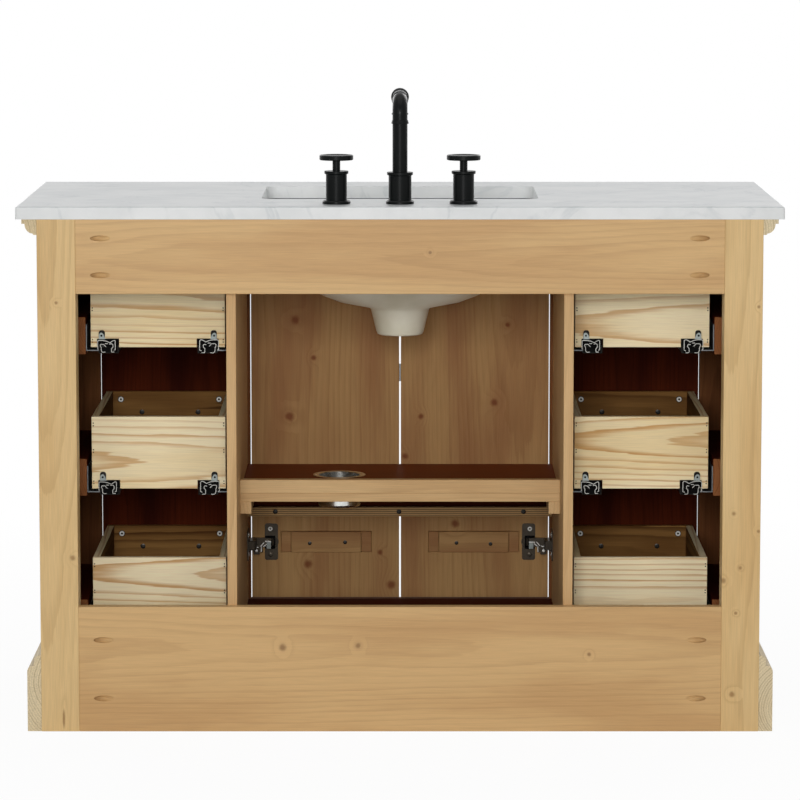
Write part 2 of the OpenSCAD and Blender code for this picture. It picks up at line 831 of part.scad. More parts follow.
// Drawer bottom, or with no slack the slot that holds it
module bottom_board(z, slack, play) {
    inset = 5 - slack;
    low = z + runner_h;
    board([box_x0 + box_wall - inset, inside_y + box_wall - inset, low + play],
          [box_x1 - box_wall + inset, box_back - box_wall + inset, low + bottom_t - play]);
}

// Drawer box: two sides, inner front, notched back and bottom
module drawer_box(side, level) {
    z = box_z(level);
    y_in = inside_y + box_wall;
    y_out = box_back - box_wall;
    notch = [rail_w + 2.25, box_wall + 2 * over, runner_h + over];
    color(raw_pine) on_side(side) {
        difference() {
            union() {
                board([box_x0, y_in + joint_gap, z], [box_x0 + box_wall, y_out - joint_gap, z + box_h]);
                board([box_x1 - box_wall, y_in + joint_gap, z], [box_x1, y_out - joint_gap, z + box_h]);
                board([box_x0, inside_y, z], [box_x1, y_in, z + box_h]);
                difference() {
                    board([box_x0, y_out, z], [box_x1, box_back, z + box_h]);
                    translate([box_x0 + box_wall - 0.25, y_out - over, z - over]) cube(notch);
                    translate([box_x1 - box_wall + 0.25 - notch[0], y_out - over, z - over]) cube(notch);
                }
            }
            bottom_board(z, 0, 0);
        }
        bottom_board(z, loose, joint_gap / 2);
    }
}

// Show front of a drawer
module drawer_front(side, level) {
    color(pine) on_side(side)
        board([front_x0, front_y, front_z0(level)], [front_x1, inside_y, front_z1(level)]);
}

// Bar pull on two posts
module drawer_pull(side, level) {
    overhang = 16;
    post_r = 4;
    color(black) on_side(side)
        translate([drawer_x, front_y, (front_z0(level) + front_z1(level)) / 2]) union() {
            translate([-pull_span / 2 - overhang, -pull_out, 0]) rotate([0, 90, 0])
                cylinder(h = pull_span + 2 * overhang, r = pull_r);
            for (x = [-1, 1]) translate([x * pull_span / 2, 0, 0]) rotate([90, 0, 0])
                cylinder(h = pull_out, r = post_r);
        }
}

// Heights of a door's two hinges
hinge_heights = [front_low + hinge_in, front_high - hinge_in];

// Door, bored for its hinge cups and recessed for its batten
module door(side) {
    batten_low = front_low + batten_z - batten_h / 2;
    color(pine) on_side(side) difference() {
        board([door_free, front_y, front_low], [door_edge, inside_y, front_high]);
        for (z = hinge_heights) translate([cup_cx, inside_y + over, z]) rotate([90, 0, 0])
            cylinder(h = hinge_cup_d + loose + over, r = hinge_cup_r + 0.1);
        board([batten_x0, inside_y - batten_d, batten_low],
              [batten_x1, inside_y + over, batten_low + batten_h]);
    }
}

// Batten let into a door: end blocks and a prouder bar between them
module door_batten(side) {
    x0 = batten_x0 + loose;
    x1 = batten_x1 - loose;
    low = front_low + batten_z - batten_h / 2 + loose;
    high = low + batten_h - 2 * loose;
    y0 = inside_y - batten_d;
    block_gap = 1.5;
    color(pine) on_side(side) {
        board([x0, y0, low], [x0 + block_w, inside_y + 1, high]);
        board([x1 - block_w, y0, low], [x1, inside_y + 1, high]);
        board([x0 + block_w + block_gap, y0, low],
              [x1 - block_w - block_gap, inside_y + batten_proud, high]);
    }
}

// Cup of a concealed hinge: rounded plate on the door and hollow cup in its bore
module hinge_cups(side) {
    wall = 1.6;
    color(black) on_side(side) for (z = hinge_heights)
        translate([cup_cx, inside_y, z]) rotate([-90, 0, 0]) difference() {
            union() {
                round_plate(hinge_plate_w, hinge_plate_h, hinge_plate_t, 4);
                cylinder(h = hinge_plate_t, r = hinge_cup_r);
                translate([0, 0, -hinge_cup_d]) cylinder(h = hinge_cup_d + over, r = hinge_cup_r);
            }
            translate([0, 0, wall - hinge_cup_d])
                cylinder(h = hinge_cup_d + hinge_plate_t, r = hinge_cup_r - wall);
        }
}

// Frame arms of the concealed hinges: plate on the partition, bar, crank and the tip in the cup
module hinge_arms() {
    plate_t = 2;
    arm_w = 15;
    bar_x = bay_half - 12.5;
    bar_y = inside_y + 9.5;
    crank_y = inside_y + hinge_plate_t + seat;
    color(steel) both_sides() for (z = hinge_heights) translate([0, 0, z]) union() {
        board([bay_half - plate_t, inside_y + 5.5, -25], [bay_half, inside_y + 5.5 + hinge_bar_l, 25]);
        board([bar_x, bar_y, -arm_w / 2], [bay_half - over, bar_y + hinge_bar_l - 12, arm_w / 2]);
        board([cup_cx, crank_y, -arm_w / 2], [bar_x + 7, bar_y + over, arm_w / 2]);
        board([cup_cx, inside_y - 2.5, -4], [cup_cx + 6, crank_y + over, 4]);
    }
}

// Latch on the right-hand door: plate up to the gap, case and knob
module door_latch() {
    plate_w = 40;
    case_w = 22;
    case_d = 7;
    knob_r = 12;
    knob_out = 25.5;
    color(black) translate([0, front_y, latch_z]) union() {
        board([seat, -latch_t, -latch_h / 2], [plate_w, 0, latch_h / 2]);
        board([seat, -case_d, -latch_h / 2 + 6], [case_w, -latch_t + over, latch_h / 2 - 6]);
        translate([plate_w - 13, 0, 0]) rotate([90, 0, 0]) rotate_extrude() polygon([
            [0, 1], [6, 1], [6, 6], [4.5, 9], [4.5, 15], [knob_r - 2, 17],
            [knob_r, 19], [knob_r, knob_out - 3], [knob_r - 3, knob_out], [0, knob_out]
        ]);
    }
}

// Keeper on the left-hand door that the latch stands beside
module latch_keeper() {
    keeper_w = 20;
    case_d = 7;
    color(black) translate([0, front_y, latch_z]) union() {
        board([-keeper_w, -latch_t, -latch_h / 2], [-seat, 0, latch_h / 2]);
        board([-keeper_w / 2, -case_d, -latch_h / 2 + 6], [-seat, -latch_t + over, latch_h / 2 - 6]);
    }
}

countertop();
sink();
sink_clips();
spout_base();
valve_bodies();
faucet_nuts();
crown_moulding();
base_plinth();
rear_posts();
back_top_rail();
back_bottom_rail();
side_frames();
side_panels();
face_frame();
partitions();
cabinet_floor();
shelf();
shelf_lip();
shelf_cleats();
shelf_cup();
door_stop();
slide_cleats();
slide_rails();
hinge_arms();
spout();
handle("right");  // right_handle
handle("left");  // left_handle
for (side = SIDES) {
    door(side);
    door_batten(side);
    hinge_cups(side);
}
door_latch();
latch_keeper();
for (side = SIDES, k = [0:2]) {
    name = str(side, "_", LEVELS[k], "_drawer_");
    drawer_box(side, k);
    drawer_front(side, k);
    drawer_pull(side, k);
    drawer_runners(side, k);
}
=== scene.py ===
"""Pine vanity unit with a marble counter, undermount bowl and black faucet.

Sizes are in millimetres until they enter a mesh, which is in metres. +Z is up, the cabinet's
front faces -Y and its open back faces +Y. Each sub-assembly is a class with its sizes as fields.
"""

from __future__ import annotations

import json
import logging
import math
import random
from collections.abc import Callable, Sequence
from dataclasses import dataclass
from enum import Enum

import bmesh
import bpy
from bmesh.types import BMEdge, BMesh, BMFace, BMVert
from mathutils import Matrix, Vector

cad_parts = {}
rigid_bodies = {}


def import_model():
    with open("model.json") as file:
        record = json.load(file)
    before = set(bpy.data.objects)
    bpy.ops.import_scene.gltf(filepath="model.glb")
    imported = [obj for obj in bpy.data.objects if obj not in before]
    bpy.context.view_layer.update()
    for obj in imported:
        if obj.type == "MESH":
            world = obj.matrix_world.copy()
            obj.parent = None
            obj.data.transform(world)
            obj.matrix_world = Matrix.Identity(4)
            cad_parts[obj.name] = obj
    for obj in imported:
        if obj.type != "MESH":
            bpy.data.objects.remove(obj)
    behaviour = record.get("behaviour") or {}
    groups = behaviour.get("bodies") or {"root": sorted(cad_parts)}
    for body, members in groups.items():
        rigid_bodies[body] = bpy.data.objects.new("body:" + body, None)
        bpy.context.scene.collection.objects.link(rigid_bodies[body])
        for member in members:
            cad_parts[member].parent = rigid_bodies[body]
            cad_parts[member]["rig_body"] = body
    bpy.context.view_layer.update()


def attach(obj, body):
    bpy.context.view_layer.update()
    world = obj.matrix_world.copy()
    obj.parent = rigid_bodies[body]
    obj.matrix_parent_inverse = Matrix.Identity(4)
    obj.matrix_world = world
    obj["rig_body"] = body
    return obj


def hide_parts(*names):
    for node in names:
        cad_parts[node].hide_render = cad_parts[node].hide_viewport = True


LOG = logging.getLogger("vanity")
MM = 0.001
# Bend in radians above which shading breaks, and above which an edge is an arris
SHARP = math.radians(34)
ARRIS = 0.6
# Gap in metres below which vertices are one, and least share of a normal along an axis
WELD = 1e-6
FACING = 0.9

Triple = tuple[float, float, float]
Pair = tuple[float, float]
Ring = tuple[Pair, float, float]
Value = bpy.types.Node | bpy.types.NodeSocket | float | tuple[float, ...]
Inputs = dict[str | int, Value]
Pick = Callable[[Vector, Vector], bool]


class Axis(Enum):
    """Directions of the row frame, each with its place in a coordinate."""

    X = 0
    Y = 1
    Z = 2


class Side(Enum):
    """Sides of the cabinet, seen from its front."""

    RIGHT = 1
    LEFT = -1

    @property
    def word(self) -> str:
        """Gives the side's name as the nodes spell it."""
        return self.name.lower()


class Level(Enum):
    """Drawers from the floor up, each with the Z of its box's lower edge."""

    BOTTOM = 139.0
    MIDDLE = 371.5
    TOP = 604.0


def drawers() -> list[tuple[str, Side, float]]:
    """Lists the six drawers.

    Returns:
        Each drawer's name, its side and the Z of its box's lower edge.
    """
    return [
        (f"{side.word}_{level.name.lower()}_drawer", side, level.value)
        for side in Side
        for level in Level
    ]


# Nodes and colours


def linear(colour: str) -> tuple[float, float, float, float]:
    """Turns an sRGB hex colour into linear red, green, blue and alpha.

    Args:
        colour: Such as "#c9a87a".

    Returns:
        Four numbers from 0 to 1.
    """
    parts = [int(colour[i : i + 2], 16) / 255 for i in (1, 3, 5)]
    red, green, blue = (p / 12.92 if p <= 0.04045 else ((p + 0.055) / 1.055) ** 2.4 for p in parts)
    return (red, green, blue, 1.0)


class Graph:
    """A node tree, with a short call for each kind of node that the finishes share."""

    def __init__(self, tree: bpy.types.NodeTree) -> None:
        """Takes over a tree and empties it.

        Args:
            tree: Tree of a material or of the world.
        """
        self.tree = tree
        tree.nodes.clear()

    def add(self, kind: str, inputs: Inputs | None = None, **settings: str) -> bpy.types.Node:
        """Adds a node with its settings, values and links.

        Args:
            kind: The node's type name after "ShaderNode".
            inputs: Socket name or place to a value, a node or an output socket.
            **settings: The node's own properties.

        Returns:
            The new node.
        """
        node = self.tree.nodes.new("ShaderNode" + kind)
        for key, value in settings.items():
            setattr(node, key, value)
        for key, value in (inputs or {}).items():
            if isinstance(key, int):
                socket = node.inputs[key]
            else:
                socket = next(s for s in node.inputs if s.enabled and s.name == key)
            if isinstance(value, bpy.types.Node):
                value = next(s for s in value.outputs if s.enabled)
            if isinstance(value, bpy.types.NodeSocket):
                self.tree.links.new(value, socket)
            else:
                socket.default_value = value
        return node

    def place(self) -> bpy.types.NodeSocket:
        """Reads the Object coordinates.

        Returns:
            Their socket.
        """
        return self.add("TexCoord").outputs["Object"]

    def maths(self, operation: str, *values: Value) -> bpy.types.Node:
        """Works on numbers.

        Args:
            operation: The Math node's operation.
            *values: What its sockets take, in turn.

        Returns:
            The node.
        """
        return self.add("Math", dict(enumerate(values)), operation=operation)

    def vector(self, operation: str, *values: Value) -> bpy.types.Node:
        """Works on vectors.

        Args:
            operation: The Vector Math node's operation.
            *values: What its sockets take, in turn.

        Returns:
            The node.
        """
        return self.add("VectorMath", dict(enumerate(values)), operation=operation)

    def noise(self, at: Value, scale: float, detail: float, **more: float) -> bpy.types.Node:
        """Adds noise.

        Args:
            at: Where it is read.
            scale: Its scale per metre.
            detail: Its octaves.
            **more: Other sockets by name.

        Returns:
            The node.
        """
        return self.add("TexNoise", {"Vector": at, "Scale": scale, "Detail": detail, **more})

    def streaks(self, at: Value, scales: Triple, detail: float) -> bpy.types.Node:
        """Adds noise with its own scale in each direction.

        Args:
            at: Where it is read.
            scales: Scales per metre in X, Y and Z.
            detail: Its octaves.

        Returns:
            The node.
        """
        return self.noise(self.vector("MULTIPLY", at, scales), 1.0, detail)

    def ramp(
        self, value: Value, start: float, end: float, low: float = 0.0, high: float = 1.0,
        smooth: bool = True,
    ) -> bpy.types.Node:
        """Maps a range to another and clamps it.

        Args:
            value: What is mapped.
            start: Value that gives low.
            end: Value that gives high.
            low: Result at the start.
            high: Result at the end.
            smooth: False for a straight ramp.

        Returns:
            The node.
        """
        limits = {"From Min": start, "From Max": end, "To Min": low, "To Max": high}
        kind = "SMOOTHSTEP" if smooth else "LINEAR"
        return self.add("MapRange", {"Value": value, **limits}, interpolation_type=kind)

    def around(self, share: Value, middle: float, reach: float) -> bpy.types.Node:
        """Spreads a share of 0 to 1 evenly round a middle value.

        Args:
            share: The share.
            middle: Result at one half.
            reach: How far 0 and 1 lie from it.

        Returns:
            The node.
        """
        return self.ramp(share, 0.0, 1.0, middle - reach, middle + reach, smooth=False)

    def blend(self, share: Value, first: Value | str, second: Value | str) -> bpy.types.Node:
        """Mixes two colours.

        Args:
            share: Share of the second.
            first: Node or sRGB hex colour.
            second: Node or sRGB hex colour.

        Returns:
            The node.
        """
        one, two = (linear(c) if isinstance(c, str) else c for c in (first, second))
        return self.add("Mix", {"Factor": share, "A": one, "B": two}, data_type="RGBA")

    def bump(self, height: Value, strength: float, distance: float) -> bpy.types.Node:
        """Bends the normal.

        Args:
            height: Height of 0 to 1.
            strength: Share of the bend.
            distance: Metres from 0 to 1.

        Returns:
            The node.
        """
        return self.add("Bump", {"Height": height, "Strength": strength, "Distance": distance})


def blank(name: str) -> tuple[bpy.types.Material, Graph]:
    """Makes a material with an empty tree.

    Args:
        name: The material's name.

    Returns:
        The material and its graph.
    """
    material = bpy.data.materials.new(name)
    material.use_nodes = True
    return material, Graph(material.node_tree)


class Finish:
    """A surface finish, built once and then shared."""

    name: str

    def material(self) -> bpy.types.Material:
        """Gives the finish's material, and builds it at the first call.

        Returns:
            The material.
        """
        known = bpy.data.materials.get(self.name)
        if known is not None:
            return known
        material, graph = blank(self.name)
        shader = graph.add("BsdfPrincipled", self.surface(graph))
        graph.add("OutputMaterial", {"Surface": shader})
        return material

    def surface(self, graph: Graph) -> Inputs:
        """Builds the nodes under the shader.

        Args:
            graph: Graph of the material.

        Returns:
            What the shader's sockets take.
        """
        raise NotImplementedError


@dataclass(frozen=True)
class Knot:
    """A knot or pitch streak on a face: place in X and Z, half width, and height to width."""

    x: float
    z: float
    radius: float
    stretch: float = 1.0


@dataclass(frozen=True)
class Pine(Finish):
    """Planed knotty pine.

    The year rings are shells round each board's own heart, so a wide face shows arches and an end
    shows arcs. Late wood is the narrow dark line of each ring; fibres run along the board.
    """

    name: str
    early: str
    late: str
    warm: str
    knot: str = "#6b4220"
    ring: float = 5.5
    contrast: float = 0.5
    crisp: float = 0.5
    patch: float = 0.4
    fibre: float = 0.1
    roughness: float = 0.5
    coat: float = 0.0
    shine: float = 0.5
    relief: float = 0.15
    sway: float = 30.0
    knots: tuple[Knot, ...] = ()

    def surface(self, graph: Graph) -> Inputs:
        """Builds the wood from the board's grain attribute and its knots.

        Args:
            graph: Graph of the material.

        Returns:
            What the shader's sockets take.
        """
        grain = graph.add("Attribute", attribute_name="grain").outputs["Vector"]
        swell, heart = self.knot_fields(graph)
        drift = graph.streaks(grain, (1.7, 6.0, 6.0), 2.0).outputs["Color"]
        swing = graph.vector("SUBTRACT", drift, (0.5, 0.5, 0.5))
        reach = (0.0, self.sway * MM, self.sway * MM)
        bent = graph.vector("MULTIPLY_ADD", swing, reach, grain)
        radius = graph.vector("LENGTH", graph.vector("MULTIPLY", bent, (0.0, 1.0, 1.0)))
        ragged = graph.streaks(grain, (9.0, 160.0, 160.0), 3.0)
        rough = graph.maths("MULTIPLY", ragged, 0.55)
        turns = graph.maths("MULTIPLY_ADD", radius, 1000.0 / self.ring, rough)
        pushed = graph.maths("ADD", turns, swell)
        phase = graph.maths("FRACT", pushed)
        whole = graph.maths("FLOOR", pushed)
        year = graph.add("TexWhiteNoise", {"W": whole}, noise_dimensions="1D").outputs["Value"]
        late = graph.maths(
            "MULTIPLY", graph.ramp(phase, self.crisp, 0.92), graph.ramp(phase, 1.0, 0.94)
        )
        depth = graph.ramp(year, 0.0, 1.0, 0.25 * self.contrast, self.contrast, smooth=False)
        line = graph.maths("MULTIPLY", late, depth)
        cloud = graph.streaks(grain, (2.2, 13.0, 13.0), 3.0)
        patch = graph.ramp(cloud, 0.4, 0.68, 0.0, self.patch)
        ringed = graph.blend(line, graph.blend(patch, self.early, self.warm), self.late)
        fibre = graph.streaks(grain, (16.0, 700.0, 700.0), 2.0)
        shade = graph.ramp(fibre, 0.3, 0.7, 1.0 - self.fibre, 1.0 + self.fibre, smooth=False)
        combed = graph.add("VectorMath", {0: ringed, "Scale": shade}, operation="SCALE")
        height = graph.maths("MULTIPLY_ADD", line, -0.6, fibre)
        return {
            "Base Color": graph.blend(heart, combed, self.knot),
            "Roughness": graph.around(fibre, self.roughness, 0.06),
            "Normal": graph.bump(height, self.relief, 0.0006),
            "Specular IOR Level": self.shine,
            "Coat Weight": self.coat,
            "Coat Roughness": 0.25,
        }

    def knot_fields(self, graph: Graph) -> tuple[Value, Value]:
        """Lays the knots: how far each pushes the rings aside, and where its dark heart is.

        Args:
            graph: Graph of the material.

        Returns:
            The push in rings and the share of knot colour, each a node, or 0 with no knots.
        """
        swell: Value = 0.0
        heart: Value = 0.0
        if not self.knots:
            return swell, heart
        place = graph.place()
        wobble = graph.around(graph.noise(place, 160.0, 2.0), 0.0, 0.25)
        for knot in self.knots:
            gap = graph.vector("SUBTRACT", place, (knot.x * MM, 0.0, knot.z * MM))
            reach = 1.0 / (knot.radius * MM)
            flat = graph.vector("MULTIPLY", gap, (reach, 0.0, reach / knot.stretch))
            far = graph.vector("LENGTH", flat)
            swell = graph.maths("ADD", swell, graph.ramp(far, 4.0, 0.0, 0.0, 1.5))
            core = graph.ramp(graph.maths("ADD", far, wobble), 1.3, 0.3, 0.0, 0.8)
            heart = graph.maths("MAXIMUM", heart, core)
        return swell, heart


@dataclass(frozen=True)
class Plywood(Finish):
    """Sawn plywood edge: plies of 1.7 mm that lie flat, with a dark line at every other one."""

    name: str
    light: str
    dark: str
    ply: float = 1.7

    def surface(self, graph: Graph) -> Inputs:
        """Builds the plies from the height in Object coordinates.

        Args:
            graph: Graph of the material.

        Returns:
            What the shader's sockets take.
        """
        place = graph.place()
        height = graph.add("SeparateXYZ", {"Vector": place}).outputs["Z"]
        sway = graph.maths("MULTIPLY", graph.noise(place, 40.0, 3.0), 0.2)
        layers = graph.maths("MULTIPLY_ADD", height, 1000.0 / self.ply, sway)
        band = graph.ramp(graph.maths("PINGPONG", layers, 1.0), 0.5, 0.95)
        return {
            "Base Color": graph.blend(band, self.light, self.dark),
            "Roughness": 0.6,
            "Normal": graph.bump(band, 0.3, 0.0004),
        }


@dataclass(frozen=True)
class Marble(Finish):
    """Polished white marble: cloudy ground with faint grey veins some 60 mm apart."""

    name: str
    ground: str
    cloud: str
    vein: str

    def surface(self, graph: Graph) -> Inputs:
        """Builds the marble from Object coordinates.

        Args:
            graph: Graph of the material.

        Returns:
            What the shader's sockets take.
        """
        turned = graph.add("Mapping", {"Vector": graph.place(), "Rotation": (0.2, 0.3, 0.7)})
        mist = graph.ramp(graph.noise(turned, 9.0, 6.0, Roughness=0.6), 0.35, 0.65)
        run = graph.noise(turned, 5.0, 5.0, Roughness=0.55, Distortion=1.2)
        away = graph.maths("ABSOLUTE", graph.maths("SUBTRACT", run, 0.5))
        vein = graph.maths("MULTIPLY", graph.ramp(away, 0.025, 0.0, 0.0, 0.6), mist)
        ground = graph.blend(mist, self.ground, self.cloud)
        return {
            "Base Color": graph.blend(vein, ground, self.vein),
            "Roughness": 0.3,
            "Specular IOR Level": 0.25,
        }


@dataclass(frozen=True)
class China(Finish):
    """Vitreous china under a clear glaze, a little uneven where it pooled."""

    name: str
    colour: str
    pooled: str
    roughness: float

    def surface(self, graph: Graph) -> Inputs:
        """Builds the glaze from Object coordinates.

        Args:
            graph: Graph of the material.

        Returns:
            What the shader's sockets take.
        """
        place = graph.place()
        share = graph.ramp(graph.noise(place, 14.0, 4.0), 0.35, 0.7)
        return {
            "Base Color": graph.blend(share, self.colour, self.pooled),
            "Roughness": self.roughness,
            "Normal": graph.bump(graph.noise(place, 60.0, 2.0), 0.06, 0.001),
            "IOR": 1.52,
        }


@dataclass(frozen=True)
class Coated(Finish):
    """Painted or moulded skin: a fine orange peel with slight changes of tone."""

    name: str
    colour: str
    worn: str
    roughness: float = 0.45
    grit: float = 1.6
    metallic: float = 0.0
    shine: float = 0.5

    def surface(self, graph: Graph) -> Inputs:
        """Builds the skin, its peel drawn at grit millimetres so that it shows.

        Args:
            graph: Graph of the material.

        Returns:
            What the shader's sockets take.
        """
        place = graph.place()
        tone = graph.noise(place, 35.0, 3.0)
        share = graph.ramp(tone, 0.35, 0.7, smooth=False)
        return {
            "Base Color": graph.blend(share, self.colour, self.worn),
            "Roughness": graph.around(tone, self.roughness, 0.07),
            "Normal": graph.bump(graph.noise(place, 1000.0 / self.grit, 2.0), 0.12, 0.0002),
            "Metallic": self.metallic,
            "Specular IOR Level": self.shine,
        }


@dataclass(frozen=True)
class Rolled(Finish):
    """Rolled or spun metal with fine lines some tenths of a millimetre apart."""

    name: str
    colour: str
    dull: str
    lines: Triple = (900.0, 60.0, 900.0)
    roughness: float = 0.32

    def surface(self, graph: Graph) -> Inputs:
        """Builds the metal, its lines drawn along the direction with the smallest scale.

        Args:
            graph: Graph of the material.

        Returns:
            What the shader's sockets take.
        """
        place = graph.place()
        line = graph.streaks(place, self.lines, 2.0)
        share = graph.ramp(graph.noise(place, 90.0, 4.0), 0.35, 0.7, smooth=False)
        return {
            "Base Color": graph.blend(share, self.colour, self.dull),
            "Roughness": graph.around(line, self.roughness, 0.1),
            "Normal": graph.bump(line, 0.08, 0.0002),
            "Metallic": 1.0,
        }


# Places on the rear view: its middle column, the row of the eye's height above its upper
# edge, millimetres to a pixel at the rear face, and the eye's height and distance from there
MIDDLE_PX = 400
EYE_ROW_PX = 112
PIXEL = 1.596
REAR_Y = 279.5
EYE_Z = 1350.0
EYE_GAP = 6518.0


def spot(x_px: float, y_px: float, depth: float) -> Pair:
    """Turns a place measured on the rear view into X and Z.

    Args:
        x_px: Pixels from the left edge.
        y_px: Pixels from the upper edge.
        depth: Y of the face that the place lies on.

    Returns:
        X and Z in millimetres.
    """
    scale = PIXEL * (1 + (REAR_Y - depth) / EYE_GAP)
    return (MIDDLE_PX - x_px) * scale, EYE_Z - (y_px + EYE_ROW_PX) * scale


def knots_at(depth: float, *marks: tuple[float, ...]) -> tuple[Knot, ...]:
    """Makes knots from places measured on the rear view.

    Args:
        depth: Y of the face that they lie on.
        *marks: Pixel x, pixel y, half width in millimetres and perhaps height to width.

    Returns:
        The knots.
    """
    return tuple(Knot(*spot(x, y, depth), radius, *more) for x, y, radius, *more in marks)


# Knots on the rear view: pixel x and y, half width in millimetres, perhaps height to width
POST_KNOTS = (
    (72, 557, 5), (734, 512, 3), (759, 530, 3), (741, 567, 3.5), (724, 580, 5), (734, 696, 5),
    (58, 300, 3), (61.5, 721, 2.4, 7.0), (737, 613, 3), (757, 304, 3),
)
RAIL_KNOTS = ((282, 648, 6), (358, 646, 5), (590, 655, 3.5), (430, 250, 3))
DOOR_KNOTS = (
    (296, 317, 8), (290, 414, 9), (314, 355, 5), (507, 322, 5), (494, 400, 7), (421, 414, 5.5),
    (405, 454, 6), (455, 522, 8), (308, 563, 8), (391, 584, 8.5), (380, 551, 5),
)
DOOR_BACK_Y = -227.5

# Planed and clear lacquered: soft gold arches with a faint sheen and small knots.
LACQUERED_POST = Pine(
    "lacquered_pine_post", "#d6b681", "#aa844f", "#c8a26a", knot="#8f6a3e", ring=5.0,
    contrast=0.34, crisp=0.35, patch=0.6, fibre=0.07, roughness=0.45, coat=0.05, shine=0.25,
    knots=knots_at(REAR_Y, *POST_KNOTS),
)
# The same lacquer on broad boards: calm wide figure in cloudy honey tones.
LACQUERED_RAIL = Pine(
    "lacquered_pine_rail", "#cea975", "#a67f50", "#bd9462", knot="#86633f", ring=7.0,
    contrast=0.3, crisp=0.4, patch=0.75, fibre=0.05, roughness=0.42, coat=0.05, shine=0.25,
    knots=knots_at(REAR_Y, *RAIL_KNOTS),
)
# Sawn edges under lacquer: close straight lines, a little duller than a face.
EDGE_PINE = Pine(
    "lacquered_pine_edge", "#cfac7b", "#a3794a", "#bf9665", ring=6.0, contrast=0.35,
    crisp=0.35, patch=0.5, fibre=0.08, roughness=0.45, shine=0.2,
)
# Weathered and grey washed: pale and dry, with coarse grooved figure and hardly any sheen.
WASHED = Pine(
    "weathered_pine", "#dac9a6", "#a08b6b", "#c8b28b", knot="#7d6243", ring=4.0, contrast=0.7,
    crisp=0.3, patch=0.5, fibre=0.16, roughness=0.62, shine=0.2, relief=0.5,
)
# Lacquered pine painted darker as the cabinet's shade: brown honey with dark round knots.
DOOR_INSIDE_PAINTED_SHADE = Pine(
    "lacquered_pine_door", "#b28b59", "#875b34", "#93623c", knot="#6f3210", ring=7.0,
    contrast=0.35, crisp=0.3, patch=0.7, fibre=0.07, roughness=0.5, shine=0.12,
    knots=knots_at(DOOR_BACK_Y, *DOOR_KNOTS),
)
# Lacquered bay wall: even warm tan that hardly shines.
BAY_WALL = Pine(
    "lacquered_pine_bay", "#cda97a", "#a57e50", "#bd9565", ring=6.0, contrast=0.35, crisp=0.3,
    fibre=0.08, roughness=0.5, shine=0.15,
)
# Brushed red-brown stain: near black in shade, with a hint of rings; on the shelf's dark board and the
# door stop's top it is painted shade.
STAIN_AND_PAINTED_SHADE = Pine(
    "red_brown_stained_pine", "#54210f", "#321108", "#34110a", ring=6.0, contrast=0.4,
    patch=0.9, fibre=0.12, roughness=0.7, shine=0.02,
)
# Thin stain on the side's inner faces: dull brown, lighter than the dark stain.
SIDE_INSIDE = Pine(
    "stained_pine_side", "#7f5231", "#4f301b", "#643b22", ring=6.0, contrast=0.5, patch=0.8,
    fibre=0.12, roughness=0.7, shine=0.03,
)
# Wiped stain on the shelf: rusty brown that catches some light at the rear.
SHELF_STAIN = Pine(
    "stained_pine_shelf", "#7c3a14", "#55260a", "#6a300f", ring=7.0, contrast=0.5, fibre=0.1,
    roughness=0.55, shine=0.08,
)
# Planed and left raw: creamy, with bold ochre rings in wide arches.
RAW_DRAWER = Pine(
    "raw_pine_drawer", "#ffeec6", "#c98f47", "#efd196", knot="#8d6535", ring=7.5, contrast=0.85,
    crisp=0.5, patch=0.6, fibre=0.06, roughness=0.6, shine=0.2, sway=16.0,
)
# Raw pine painted darker as the shade inside the box: broad dark bands, no shine.
DRAWER_INSIDE_PAINTED_SHADE = Pine(
    "aged_pine_drawer_inside", "#9c7340", "#4a290c", "#6a4420", ring=11.0, contrast=0.85,
    crisp=0.2, patch=0.8, fibre=0.1, roughness=0.65, shine=0.05, sway=16.0,
)
# End grain rubbed through its stain: patchy light brown.
CLEAT_END = Pine(
    "worn_stained_pine_end", "#96603a", "#5c341a", "#7c4826", ring=4.0, contrast=0.6, fibre=0.1,
    roughness=0.7, shine=0.05,
)
# Sawn plywood: tan plies with nearly black glue lines between.
STOP_PLY = Plywood("sawn_plywood", "#d2a768", "#43230c")
# Polished stone: pale grey clouds with faint veins and a broad soft shine.
TOP_MARBLE = Marble("polished_marble", "#d4d6d6", "#c7cacb", "#b0b5b8")
# Same stone with painted light on its upright faces: a little lighter than the polished top.
EDGE_MARBLE_PAINTED_LIGHT = Marble("honed_marble_edge", "#e3e4e4", "#d9dbdb", "#c6cacc")
# Glazed and fired china: clean white with sharp small highlights.
BOWL_GLAZE = China("glazed_white_china", "#f8f9f7", "#f0f2f0", 0.1)
# Thin glaze on the outside: cream, dull, a little uneven.
BOWL_BACK = China("dull_glazed_china", "#e9e5d4", "#dcd7c2", 0.38)
# Tooled bead of sealant whose grey is also the painted shadow line at the bowl's joint: flat grey line.
SEALANT_AND_SHADE_LINE = Coated("grey_sealant", "#77797a", "#67696a", 0.5, shine=0.1)
# Powder coat: deep black whose fine peel spreads the highlights.
FAUCET_BLACK = Coated("black_powder_coat", "#0b0e0e", "#070909", 0.3, shine=0.1)
# Sprayed matt paint: charcoal with wide dim highlights.
PULL_BLACK = Coated("matt_black_paint", "#161616", "#101010", 0.5, shine=0.25)
# Moulded nylon: flat black that shows hardly any light; also the painted shade in the hinge throats and
# the hook tabs' holes.
BLACK_NYLON_AND_SHADE = Coated("black_nylon", "#080707", "#050404", 0.45, shine=0.03)
# Dark nickel plate: brown black metal with soft glints; also the painted shade round a bright-rimmed
# hinge screw.
HINGE_DARK = Coated("dark_nickel_plate", "#423b31", "#322c25", 0.35, metallic=0.75)
# Bright nickel plate painted near white as a highlight: small white edges that stand out in the dark.
NICKEL_PAINTED_HIGHLIGHT = Coated("bright_nickel_plate", "#f4f3ee", "#dedcd5", 0.35, metallic=0.15)
# Sheet edges painted light grey as highlights: light grey outline.
SHEET_EDGE_PAINTED_HIGHLIGHT = Coated("bare_sheet_edge", "#bdbcb6", "#a3a29c", 0.35, metallic=0.3)
